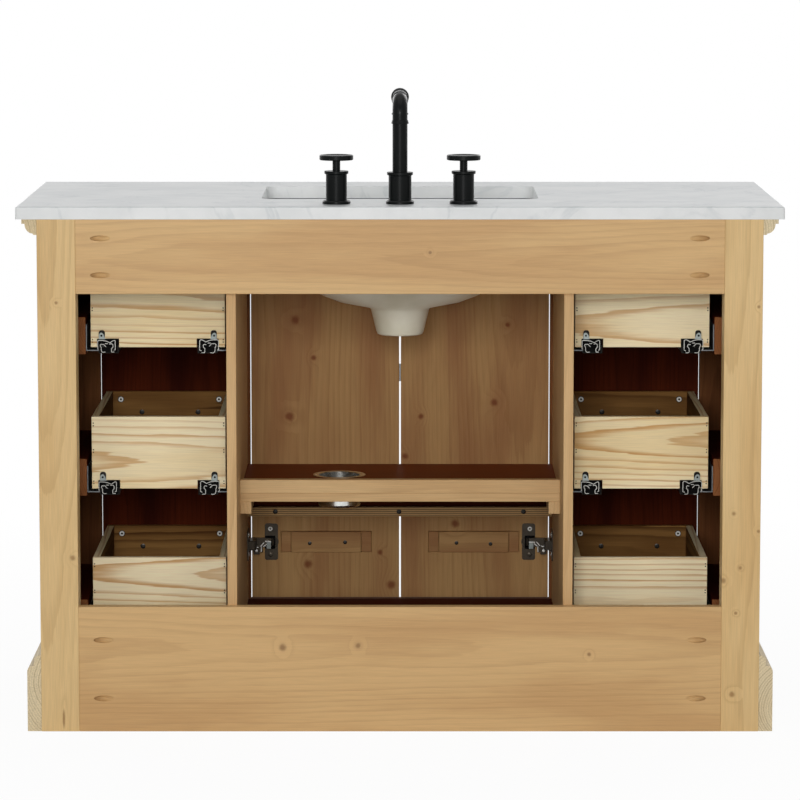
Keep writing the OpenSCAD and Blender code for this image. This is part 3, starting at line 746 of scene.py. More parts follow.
# Galvanised tab: mid grey with a cold cast.
HOOK_STEEL = Coated("galvanised_hook", "#8e9693", "#777f7d", 0.4, metallic=0.4)
# Zinc plate: bright cool grey with fine lines.
ZINC = Rolled("zinc_plated_steel", "#c6cbce", "#a9aeb0")
# Dull zinc on rolled rails: dark grey with long soft lines.
RAIL_STEEL = Rolled("dull_zinc_steel", "#6b6d6e", "#535556", roughness=0.45)
# Blackened steel: near black, with a low metal sheen; on the fixed rails' rear ends it is painted
# shade.
RUNNER_STEEL = Coated("blackened_steel", "#1b1916", "#110f0d", 0.4, metallic=0.5, shine=0.1)
# Plain turned brass: warm yellow with fine upright lines.
BRASS = Rolled("plain_brass", "#c9a664", "#a88545", (400.0, 400.0, 60.0))
# Spun stainless steel: bright, with fine level lines round the wall.
CUP_STEEL = Rolled("spun_stainless_steel", "#e2e3e0", "#d0d1cd", (200.0, 200.0, 1500.0), 0.24)
# Blackened screws: dark brown heads with a small glint; also the painted shade in and round the
# bright-rimmed drawer screws.
SCREW_DARK = Coated("blackened_screw", "#2b2620", "#191612", 0.35, metallic=0.6)


# Shapes


def place(part: BMesh, centre: Triple, axis: Vector) -> None:
    """Turns a part from +Z to the axis and sets it at the centre.

    Args:
        part: Part modelled round the origin, in metres.
        centre: Where its origin goes, in millimetres.
        axis: Direction of its own +Z.
    """
    turn = Vector((0, 0, 1)).rotation_difference(axis).to_matrix().to_4x4()
    matrix = Matrix.Translation(Vector(centre) * MM) @ turn
    bmesh.ops.transform(part, matrix=matrix, verts=part.verts)


def ease(part: BMesh, edges: Sequence[BMEdge], width: float, steps: int = 2) -> None:
    """Rounds edges.

    Args:
        part: Mesh that they belong to.
        edges: The edges.
        width: Width of the rounding in millimetres.
        steps: Faces across it.
    """
    bmesh.ops.bevel(
        part, geom=edges, offset=width * MM, offset_type="OFFSET", affect="EDGES",
        segments=steps, profile=0.5, material=-1, clamp_overlap=True,
    )


def mark_sharp(part: BMesh) -> None:
    """Lets shading break at sharp edges and run on over the rest.

    Args:
        part: The mesh.
    """
    for edge in part.edges:
        edge.smooth = edge.is_manifold and edge.calc_face_angle(0.0) < SHARP


def block(low: Triple, high: Triple, width: float, steps: int = 2) -> BMesh:
    """Makes a box with eased edges.

    Args:
        low: Lowest corner.
        high: Highest corner.
        width: Width of the eased edges.
        steps: Faces across an eased edge.

    Returns:
        The part.
    """
    part = bmesh.new()
    bmesh.ops.create_cube(part, size=1.0)
    size = (Vector(high) - Vector(low)) * MM
    bmesh.ops.scale(part, vec=size, verts=part.verts)
    bmesh.ops.translate(part, vec=(Vector(high) + Vector(low)) * MM / 2, verts=part.verts)
    ease(part, part.edges[:], width, steps)
    return part


def turned(profile: Sequence[Pair], centre: Triple, axis: Vector, steps: int = 48) -> BMesh:
    """Turns a profile on a lathe.

    Args:
        profile: Radius and height of each point, from the axis round to the axis.
        centre: Where the profile's height 0 lies.
        axis: Direction in which its heights grow.
        steps: Faces round the axis.

    Returns:
        The part.
    """
    part = bmesh.new()
    verts = [part.verts.new((r * MM, 0.0, h * MM)) for r, h in profile]
    edges = [part.edges.new(pair) for pair in zip(verts, verts[1:])]
    bmesh.ops.spin(
        part, geom=verts + edges, cent=(0, 0, 0), axis=(0, 0, 1), angle=math.tau, steps=steps,
        use_merge=True, use_duplicate=False,
    )
    bmesh.ops.remove_doubles(part, verts=part.verts, dist=WELD)
    place(part, centre, axis)
    return part


def draw(part: BMesh, points: Sequence[Pair], at: float, along: Axis) -> list[BMVert]:
    """Sets out points on a plane across a direction.

    Args:
        part: Mesh that gets them.
        points: Their places in the two other directions, in X, Y, Z order.
        at: Where the plane cuts the direction.
        along: The direction.

    Returns:
        The vertices.
    """
    corners = []
    for a, b in points:
        corner = [a, b]
        corner.insert(along.value, at)
        corners.append(part.verts.new(Vector(corner) * MM))
    return corners


def push(part: BMesh, grown: dict[str, list], length: float, along: Axis) -> None:
    """Moves what an extrusion has just grown.

    Args:
        part: Its mesh.
        grown: The extrusion's result.
        length: How far it goes, in millimetres.
        along: In which direction.
    """
    shift = [0.0, 0.0, 0.0]
    shift[along.value] = length * MM
    moved = [v for v in grown["geom"] if isinstance(v, BMVert)]
    bmesh.ops.translate(part, vec=shift, verts=moved)


def outline(points: Sequence[Pair], start: float, end: float, along: Axis) -> BMesh:
    """Extrudes a closed outline.

    Args:
        points: Corners in the two other directions, in X, Y, Z order.
        start: Where the extrusion begins along its direction.
        end: Where it ends.
        along: Its direction.

    Returns:
        The part.
    """
    part = bmesh.new()
    face = part.faces.new(draw(part, points, start, along))
    grown = bmesh.ops.extrude_face_region(part, geom=[face], use_keep_orig=True)
    push(part, grown, end - start, along)
    return part


def strip(points: Sequence[Pair], start: float, end: float, along: Axis, gauge: float) -> BMesh:
    """Bends a strip of sheet along a line.

    Args:
        points: The line, in the two other directions, in X, Y, Z order.
        start: One edge of the strip along its direction.
        end: Its other edge.
        along: That direction.
        gauge: Thickness of the sheet.

    Returns:
        The part.
    """
    part = bmesh.new()
    corners = draw(part, points, start, along)
    edges = [part.edges.new(pair) for pair in zip(corners, corners[1:])]
    push(part, bmesh.ops.extrude_edge_only(part, edges=edges), end - start, along)
    bmesh.ops.solidify(part, geom=part.faces[:], thickness=gauge * MM)
    return part


def screw(centre: Triple, axis: Vector, radius: float = 3.6, proud: float = 1.2) -> BMesh:
    """Makes a screw's head with its cross recess.

    Args:
        centre: Where the head meets the surface.
        axis: Direction that the head faces.
        radius: Radius of the head.
        proud: Height of the head.

    Returns:
        The part, of some 60 faces.
    """
    part = bmesh.new()
    bmesh.ops.create_circle(part, cap_ends=True, segments=12, radius=radius * MM)
    turn = Matrix.Rotation(math.radians(15), 3, "Z")
    bmesh.ops.rotate(part, cent=(0, 0, 0), matrix=turn, verts=part.verts)
    top = next(iter(part.faces))
    grown = bmesh.ops.extrude_face_region(part, geom=[top], use_keep_orig=True)
    top = next(f for f in grown["geom"] if isinstance(f, BMFace))
    bmesh.ops.translate(part, vec=(0, 0, proud * 0.6 * MM), verts=top.verts[:])
    for inset, lift in ((radius * 0.3, proud * 0.4), (radius * 0.1, 0.0)):
        bmesh.ops.inset_individual(part, faces=[top], thickness=inset * MM, depth=lift * MM)
    slot = radius * 0.16 * MM
    for vert in top.verts:
        angle = round(math.degrees(math.atan2(vert.co.y, vert.co.x))) % 90
        if abs(angle - 45) < 10:
            vert.co.xy = vert.co.xy.normalized() * slot * math.sqrt(2)
        else:
            wide = vert.co.xy.normalized() * radius * 0.52 * MM
            flip = abs(wide.x) > abs(wide.y)
            vert.co.x = wide.x if flip else math.copysign(slot, wide.x)
            vert.co.y = math.copysign(slot, wide.y) if flip else wide.y
    grown = bmesh.ops.extrude_discrete_faces(part, faces=[top])
    bmesh.ops.translate(part, vec=(0, 0, -proud * 0.8 * MM), verts=grown["faces"][0].verts[:])
    place(part, centre, axis)
    return part


def ring(centre: Triple, axis: Vector, radius: float, proud: float = 1.2) -> BMesh:
    """Turns the rim of a screw's head for a painted highlight, open where a dark disc paints the
    recess's shade.

    Args:
        centre: Where the rim meets the surface.
        axis: Direction that the head faces.
        radius: Outer radius of the rim.
        proud: Its height.

    Returns:
        The part.
    """
    hole = radius * 0.4
    profile = [
        (hole, 0), (radius, 0), (radius, proud * 0.5), (radius * 0.86, proud),
        (hole * 1.15, proud), (hole, proud * 0.7), (hole, 0),
    ]
    return turned(profile, centre, axis, 16)


REAR = Vector((0, 1, 0))
UP = Vector((0, 0, 1))


def add_object(
    name: str, mesh: BMesh, finishes: Sequence[Finish], body: str, slot: str, *nodes: str
) -> None:
    """Makes an object from a mesh, frees the mesh and lets the object ride on its body.

    Args:
        name: The object's name.
        mesh: Its mesh.
        finishes: Its finishes, in the order of its faces' numbers.
        body: The body it moves with.
        slot: The record's material slot; not used.
        *nodes: Solids that it stands for.
    """
    made = bpy.data.meshes.new(name)
    mesh.to_mesh(made)
    mesh.free()
    thing = bpy.data.objects.new(name, made)
    for finish in finishes:
        made.materials.append(finish.material())
    bpy.context.scene.collection.objects.link(thing)
    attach(thing, body)
    if nodes:
        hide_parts(*nodes)
    LOG.info("%s: %d faces, rides on %s", name, len(made.polygons), body)


def copy_node(node: str) -> BMesh:
    """Copies a CAD node's mesh and joins its doubled vertices.

    Args:
        node: The node.

    Returns:
        The copy.
    """
    part = bmesh.new()
    part.from_mesh(bpy.data.objects[node].data)
    bmesh.ops.remove_doubles(part, verts=part.verts, dist=WELD)
    return part


class Workpiece:
    """A piece put together from parts, each with its own finish."""

    def __init__(self, name: str, *finishes: Finish) -> None:
        """Starts an empty piece.

        Args:
            name: Name of the piece's object.
            *finishes: Its finishes, which the parts name by place.
        """
        self.name = name
        self.finishes = finishes
        self.mesh = bmesh.new()

    def join(self, part: BMesh, finish: int = 0, smooth: bool = True) -> None:
        """Adds a closed part and frees it.

        Args:
            part: The part, in metres.
            finish: Place of its finish.
            smooth: False where its faces stay flat.
        """
        bmesh.ops.recalc_face_normals(part, faces=part.faces[:])
        for face in part.faces:
            face.material_index = finish
            face.smooth = smooth
        mark_sharp(part)
        joined = bpy.data.meshes.new("part")
        part.to_mesh(joined)
        part.free()
        self.mesh.from_mesh(joined)
        bpy.data.meshes.remove(joined)

    def ringed_screw(
        self, centre: Triple, axis: Vector, radius: float, light: int, dark: int
    ) -> None:
        """Adds a screw with a rim for a painted highlight over a dark disc that paints its recess's
        shade and a shadow line round it.

        Args:
            centre: Where the head meets the surface.
            axis: Direction that the head faces.
            radius: Radius of the rim.
            light: Place of the rim's finish.
            dark: Place of the finish of the disc that paints the shade.
        """
        base = [(0, 0), (radius * 1.25, 0), (radius * 1.25, 0.35), (0, 0.35)]
        self.join(turned(base, centre, axis, 16), dark)
        self.join(ring(centre, axis, radius), light)

    def hand_in(self, body: str, slot: str, *nodes: str) -> None:
        """Makes the object and lets it ride on its body.

        Args:
            body: The body it moves with.
            slot: The record's material slot.
            *nodes: Solids that it stands for.
        """
        add_object(self.name, self.mesh, self.finishes, body, slot, *nodes)


# Timber


def islands(part: BMesh) -> list[list[BMVert]]:
    """Sorts a mesh's vertices by board.

    Args:
        part: Mesh of one or more closed boards.

    Returns:
        The vertices of each board, the boards in the order of their lowest corners.
    """
    todo = set(part.verts)
    found = []
    while todo:
        edge = [todo.pop()]
        group = []
        while edge:
            vert = edge.pop()
            group.append(vert)
            for other in (e.other_vert(vert) for e in vert.link_edges):
                if other in todo:
                    todo.remove(other)
                    edge.append(other)
        found.append(group)
    return sorted(
        found, key=lambda g: tuple(round(min(v.co[i] for v in g), 4) for i in range(3))
    )


def lay_grain(part: BMesh, seed: str, along: Axis | None) -> None:
    """Writes each vertex's place in the log that its board was sawn from.

    Args:
        part: Mesh of one or more boards.
        seed: Word that picks the logs, the same at each run.
        along: Direction of the grain, or None for each board's longest side.
    """
    layer = part.verts.layers.float_vector.new("grain")
    for count, group in enumerate(islands(part)):
        chance = random.Random(f"{seed} {count}")
        low = Vector([min(v.co[i] for v in group) for i in range(3)])
        high = Vector([max(v.co[i] for v in group) for i in range(3)])
        size = high - low
        order = sorted(range(3), key=lambda i: -size[i])
        if along is not None:
            order.remove(along.value)
            order.insert(0, along.value)
        shift = Vector(
            (
                chance.uniform(0, 8),
                chance.uniform(-0.35, 0.35) * size[order[1]],
                chance.choice((-1, 1)) * (chance.uniform(0.03, 0.07) + size[order[2]] / 2),
            )
        )
        middle = (low + high) / 2
        lean = chance.choice((-1, 1)) * chance.uniform(0.008, 0.03)
        for vert in group:
            near = vert.co - middle
            spot = Vector([near[i] for i in order])
            spot.z += lean * spot.x
            vert[layer] = spot + shift


@dataclass(frozen=True)
class Timber:
    """How a wooden node is dressed: its finish, and another where its outside shows."""

    node: str
    slot: str
    finish: Finish
    outer: Finish | None = None
    shows: Pick | None = None
    width: float = 0.8
    shortest: float = 7.0
    along: Axis | None = None

    def dress(self) -> None:
        """Copies the node, eases its arrises, lays its grain and stands for it."""
        part = copy_node(self.node)
        bmesh.ops.dissolve_limit(
            part, angle_limit=math.radians(1), use_dissolve_boundaries=False,
            verts=part.verts, edges=part.edges,
        )
        arrises = [
            e for e in part.edges
            if e.is_manifold and e.calc_face_angle(0.0) > ARRIS and e.calc_length() > self.shortest * MM
        ]
        ease(part, arrises, self.width)
        lay_grain(part, self.node, self.along)
        for face in part.faces:
            face.smooth = False
            seen = self.shows is not None and self.shows(face.calc_center_median(), face.normal)
            face.material_index = int(seen)
        finishes = [self.finish] if self.outer is None else [self.finish, self.outer]
        body = bpy.data.objects[self.node]["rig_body"]
        add_object(self.node + "_timber", part, finishes, body, self.slot, self.node)


@dataclass(frozen=True)
class Zone:
    """Faces with a second finish: beyond a plane in millimetres, or turned along an axis."""

    front: float = -math.inf
    rear: float = math.inf
    out: float = math.inf
    within: float = 0.0
    turned: Axis | None = None

    def holds(self, centre: Vector, normal: Vector) -> bool:
        """Tells whether a face is in the zone.

        Args:
            centre: The face's centre.
            normal: Its normal.

        Returns:
            True where one of the limits is passed.
        """
        x = abs(centre.x)
        if self.turned is not None and normal[self.turned.value] > FACING:
            return True
        aside = x > self.out * MM or x < self.within * MM
        return aside or centre.y < self.front * MM or centre.y > self.rear * MM


AT_FRONT = Zone(front=-246.4).holds
AT_SIDE = Zone(front=-246.4, out=567.6).holds
BEYOND_POST = Zone(out=575.5).holds
BAY_SIDE = Zone(rear=258.5, within=262.2).holds
REAR_END = Zone(turned=Axis.Y).holds
PAINTED_SHADE_TOP = Zone(turned=Axis.Z).holds
SHELF_EDGE = Zone(rear=123.6).holds


def coat_node(
    node: str, finish: Finish, other: Finish | None = None, pick: Pick | None = None
) -> None:
    """Gives a CAD node that stays as it is its material.

    Args:
        node: The node.
        finish: Its finish.
        other: Finish of some of its faces.
        pick: Tells from a face's centre and normal whether it has the other finish.
    """
    mesh = bpy.data.objects[node].data
    mesh.materials.clear()
    mesh.materials.append(finish.material())
    if other is not None and pick is not None:
        mesh.materials.append(other.material())
        for face in mesh.polygons:
            face.material_index = int(pick(face.center, face.normal))
    LOG.info("%s: kept, %s", node, finish.name)


def smooth_copy(
    node: str, slot: str, finish: Finish, alter: Callable[[BMesh], None] | None = None
) -> None:
    """Copies a node of round forms, shades it smooth between sharp edges and stands for it.

    Args:
        node: The node.
        slot: The record's material slot.
        finish: Its finish.
        alter: Changes the copy's form.
    """
    part = copy_node(node)
    if alter is not None:
        alter(part)
    for face in part.faces:
        face.smooth = True
    mark_sharp(part)
    body = bpy.data.objects[node]["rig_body"]
    add_object(node + "_smooth", part, (finish,), body, slot, node)


# Sub-assemblies


@dataclass
class Counter:
    """Marble countertop."""

    def build(self) -> None:
        """Gives the slab its stone."""
        # Upright faces, the sink's cut-out walls among them, get the lighter marble as painted light.
        coat_node("countertop", TOP_MARBLE, EDGE_MARBLE_PAINTED_LIGHT, self.upright)

    @staticmethod
    def upright(centre: Vector, normal: Vector) -> bool:
        """Picks the slab's edges and the sides of its openings.

        Args:
            centre: A face's centre; not used.
            normal: Its normal.

        Returns:
            True on upright faces.
        """
        return abs(normal.z) < 0.5


@dataclass
class Sink:
    """Undermount china bowl, lofted through rounded rectangles, and its clips."""

    middle_y: float = -29.01
    top: float = 825.0
    inner: Triple = (228.0, 144.5, 166.0)
    outer: Triple = (239.0, 155.5, 177.0)
    flange: Triple = (251.0, 167.5, 14.0)
    flange_r: float = 45.0
    seat_r: float = 31.0
    drain_r: float = 22.5
    boss: Pair = (48.5, 39.5)
    foot: float = 609.0
    bead: float = 4.5
    corner_steps: int = 14

    def ring(self, part: BMesh, half: Pair, radius: float, height: float) -> list[BMEdge]:
        """Draws one rounded rectangle round the bowl's axis.

        Args:
            part: Mesh that gets the ring.
            half: Half width and half depth.
            radius: Corner radius.
            height: Z of the ring.

        Returns:
            The ring's edges.
        """
        count = self.corner_steps + 1
        made = bmesh.ops.create_circle(part, segments=4 * count, radius=MM)["verts"]
        for index, vert in enumerate(made):
            quarter, step = divmod(index, count)
            angle = math.radians(90 * (quarter + step / self.corner_steps))
            east = 1 if quarter in (0, 3) else -1
            north = 1 if quarter < 2 else -1
            x = east * (half[0] - radius) + radius * math.cos(angle)
            y = north * (half[1] - radius) + radius * math.sin(angle)
            vert.co = Vector((x, y + self.middle_y, height)) * MM
        return list({edge for vert in made for edge in vert.link_edges})

    def level(self, half: Triple, share: float) -> Ring:
        """Works out one level of the bowl's elliptical side.

        Args:
            half: Half width, half depth and depth of the surface.
            share: Angle from brim to floor, in degrees.

        Returns:
            Half sizes, corner radius and Z.
        """
        angle = math.radians(share)
        wide, deep = half[0] * math.cos(angle), half[1] * math.cos(angle)
        radius = (0.2 + 0.78 * math.sin(angle)) * min(wide, deep)
        return (wide, deep), radius, self.top - half[2] * math.sin(angle)

    def loft(self, levels: Sequence[Ring]) -> BMesh:
        """Bridges rings from the first to the last.

        Args:
            levels: Half sizes, corner radius and Z of each ring.

        Returns:
            The open surface.
        """
        part = bmesh.new()
        rings = [self.ring(part, *level) for level in levels]
        for low, high in zip(rings, rings[1:]):
            bmesh.ops.bridge_loops(part, edges=low + high)
        return part

    @staticmethod
    def bore(radius: float, height: float) -> Ring:
        """Works out one level of a round hole or boss.

        Args:
            radius: Its radius.
            height: Z of the level.

        Returns:
            Half sizes, corner radius and Z.
        """
        return (radius, radius), radius * 0.999, height

    def inner_face(self) -> list[Ring]:
        """Lists the levels of the inner face.

        Returns:
            Levels from the brim down to the drain's foot.
        """
        sides = [self.level(self.inner, a) for a in (0, 4, 10, 17, 24, 32, 40, 48, 56, 64, 71)]
        drain = (
            (self.seat_r + 6, self.top - 162.5), (self.seat_r, self.top - 164),
            (self.seat_r, self.top - 169), (self.drain_r, self.top - 169),
            (self.drain_r, self.foot),
        )
        return sides + [self.bore(*turn) for turn in drain]

    def outer_face(self) -> list[Ring]:
        """Lists the levels of the outer face.

        Returns:
            Levels from the brim over the flange down to the boss's foot.
        """
        flange = self.flange[:2]
        brim = [
            (self.inner[:2], 0.2 * self.inner[1], self.top), (flange, self.flange_r, self.top),
            (flange, self.flange_r, self.top - self.flange[2]),
        ]
        sides = [self.level(self.outer, a) for a in (4.6, 9, 14, 20, 27, 34, 42, 50, 58, 65)]
        upper, lower = self.boss
        boss = (
            (upper + 3, self.top - 170.5), (upper, self.top - 173.5), (lower, self.foot + 6),
            (lower - 2, self.foot + 1.5), (lower - 5, self.foot), (self.drain_r, self.foot),
        )
        return brim + sides + [self.bore(*turn) for turn in boss]

    def seal(self) -> list[Ring]:
        """Lists the levels of the sealant bead under the counter's edge, which paints the joint's
        shadow line.

        Returns:
            Levels of the bead.
        """
        half, corner, upper = self.inner[:2], self.inner[1] * 0.2, self.top - 0.1
        inset = (half[0] - 2, half[1] - 2)
        low = self.top - self.bead
        return [(half, corner, upper), (inset, corner - 2, upper), (half, corner, low)]

    def build(self) -> None:
        """Lofts the bowl's two faces, joins them at brim and drain and stands for the solid."""
        bowl = Workpiece("sink_bowl", BOWL_GLAZE, BOWL_BACK)
        bowl.join(self.loft(self.inner_face()), 0)
        bowl.join(self.loft(self.outer_face()), 1)
        bmesh.ops.remove_doubles(bowl.mesh, verts=bowl.mesh.verts, dist=2e-5)
        bmesh.ops.recalc_face_normals(bowl.mesh, faces=bowl.mesh.faces[:])
        mark_sharp(bowl.mesh)
        bowl.hand_in("cabinet", "sink_china", "sink")
        seal = Workpiece("sink_sealant", SEALANT_AND_SHADE_LINE)
        seal.join(self.loft(self.seal()))
        seal.hand_in("cabinet", "sink_china")
        coat_node("sink_clips", ZINC)


@dataclass
class Faucet:
    """Widespread faucet: spout, two valves with turning handles, and their nuts."""

    def build(self) -> None:
        """Dresses each faucet piece in its coat."""
        for node in ("spout_base", "valve_bodies", "spout", "right_handle", "left_handle"):
            smooth_copy(node, "faucet_black", FAUCET_BLACK)
        smooth_copy("faucet_nuts", "nut_brass", BRASS)


@dataclass
class Carcass:
    """Posts, rails, frames, partitions, floor and cleats."""

    def build(self) -> None:
        """Dresses the boards that carry the rest."""
        timbers = (
            Timber("rear_posts", "pine", LACQUERED_POST, WASHED, BEYOND_POST),
            Timber("back_top_rail", "pine", LACQUERED_RAIL),
            Timber("back_bottom_rail", "pine", LACQUERED_RAIL),
            Timber("side_frames", "washed_pine", SIDE_INSIDE, WASHED, AT_SIDE),
            Timber("side_panels", "washed_pine", SIDE_INSIDE, WASHED, AT_SIDE),
            Timber("face_frame", "washed_pine", SIDE_INSIDE, WASHED, AT_SIDE),
            Timber("partitions", "stained_pine", STAIN_AND_PAINTED_SHADE, BAY_WALL, BAY_SIDE),
            Timber("cabinet_floor", "stained_pine", STAIN_AND_PAINTED_SHADE),
            Timber("slide_cleats", "stained_pine", STAIN_AND_PAINTED_SHADE, CLEAT_END, REAR_END),
        )
        for timber in timbers:
            timber.dress()

@dataclass
class Mouldings:
    """Crown under the counter and plinth at the floor."""

    def build(self) -> None:
        """Dresses both mouldings."""
        Timber("crown_moulding", "washed_pine", WASHED, width=0.2).dress()
        Timber("base_plinth", "washed_pine", WASHED, width=0.2).dress()


@dataclass
class Shelf:
    """Shelf of the centre bay with its lip, cleats and steel cup, and the door stop below."""

    cup_at: Triple = (102.0, -87.5, 364.0)
    cup_r: float = 36.0
    rim: float = 8.25
    depth: float = 52.0
    stop_y: float = -207.0
    screw_r: float = 4.2
    # Corners of a thin dark board on the door stop that paints the shade under the shelf
    apron: tuple[Triple, Triple] = ((-255.0, -226.2, 291.7), (255.0, -220.2, 349.8))
    stop_screws: tuple[Pair, ...] = ((275.3, 510), (399, 510), (523.5, 510))

    def build(self) -> None:
        """Dresses the boards and spins the cup."""
        Timber("shelf", "stained_pine", SHELF_STAIN, EDGE_PINE, SHELF_EDGE).dress()
        Timber("shelf_lip", "pine", EDGE_PINE).dress()
        Timber("shelf_cleats", "pine", EDGE_PINE).dress()
        # The door stop's upper face is dark as painted shade under the shelf.
        Timber("door_stop", "plywood", STOP_PLY, STAIN_AND_PAINTED_SHADE, PAINTED_SHADE_TOP, 0.4).dress()
        # A thin board in the dark stain stands for the shade between shelf and door stop.
        apron = block(self.apron[0], self.apron[1], 0.6)
        lay_grain(apron, "shelf apron", None)
        board = Workpiece("shelf_apron", STAIN_AND_PAINTED_SHADE)
        board.join(apron, smooth=False)
        board.hand_in("cabinet", "stained_pine")
        self.cup()
        screws = Workpiece("door_stop_screws", SCREW_DARK)
        for x_px, y_px in self.stop_screws:
            x, z = spot(x_px, y_px, self.stop_y)
            screws.join(screw((x, self.stop_y, z), REAR, self.screw_r))
        screws.hand_in("cabinet", "hinge_steel")

    def cup(self) -> None:
        """Spins the cup from one sheet, with its rolled rim."""
        r, d = self.cup_r, self.depth
        profile = [
            (0, -d), (r - 4.8, -d), (r - 4, -d), (r - 1.2, 1.2 - d), (r, 4 - d), (r, 4.8 - d),
            (r, 0), (r + self.rim - 0.6, 0), (r + self.rim, 0.6), (r + self.rim - 0.6, 1.3),
            (r + 2, 1.5), (r - 0.2, 1.1), (r - 1, 0), (r - 1, -0.8), (r - 1, 4.8 - d),
            (r - 1, 4 - d), (r - 2.2, 2.2 - d), (r - 5, 1 - d), (r - 5.8, 1 - d), (0, 1 - d),
        ]
        cup = Workpiece("steel_cup", CUP_STEEL)
        cup.join(turned(profile, self.cup_at, UP, 72))
        cup.hand_in("cabinet", "cup_steel", "shelf_cup")


@dataclass
class Doors:
    """Both doors with their battens, latch and keeper."""

    batten_y: float = -222.5
    screw_r: float = 3.4
    screw_proud: float = 0.8
    batten_screws: tuple[tuple[Side, float, float], ...] = (
        (Side.RIGHT, 309.6, 542.0), (Side.RIGHT, 345.0, 541.0),
        (Side.LEFT, 456.6, 541.6), (Side.LEFT, 490.7, 542.7),
    )

    def build(self) -> None:
        """Dresses both doors and what they carry."""
        for side in Side:
            door = f"{side.word}_door"
            Timber(door, "washed_pine", DOOR_INSIDE_PAINTED_SHADE, WASHED, AT_FRONT).dress()
            Timber(f"{door}_batten", "pine", DOOR_INSIDE_PAINTED_SHADE, width=0.5, along=Axis.X).dress()
            screws = Workpiece(f"{door}_batten_screws", SCREW_DARK)
            for owner, x_px, y_px in self.batten_screws:
                if owner is side:
                    x, z = spot(x_px, y_px, self.batten_y)
                    at = (x, self.batten_y, z)
                    screws.join(screw(at, REAR, self.screw_r, self.screw_proud))
            screws.hand_in(f"{door}_body", "hinge_steel")
        smooth_copy("door_latch", "latch_black", BLACK_NYLON_AND_SHADE)
        smooth_copy("latch_keeper", "latch_black", BLACK_NYLON_AND_SHADE)


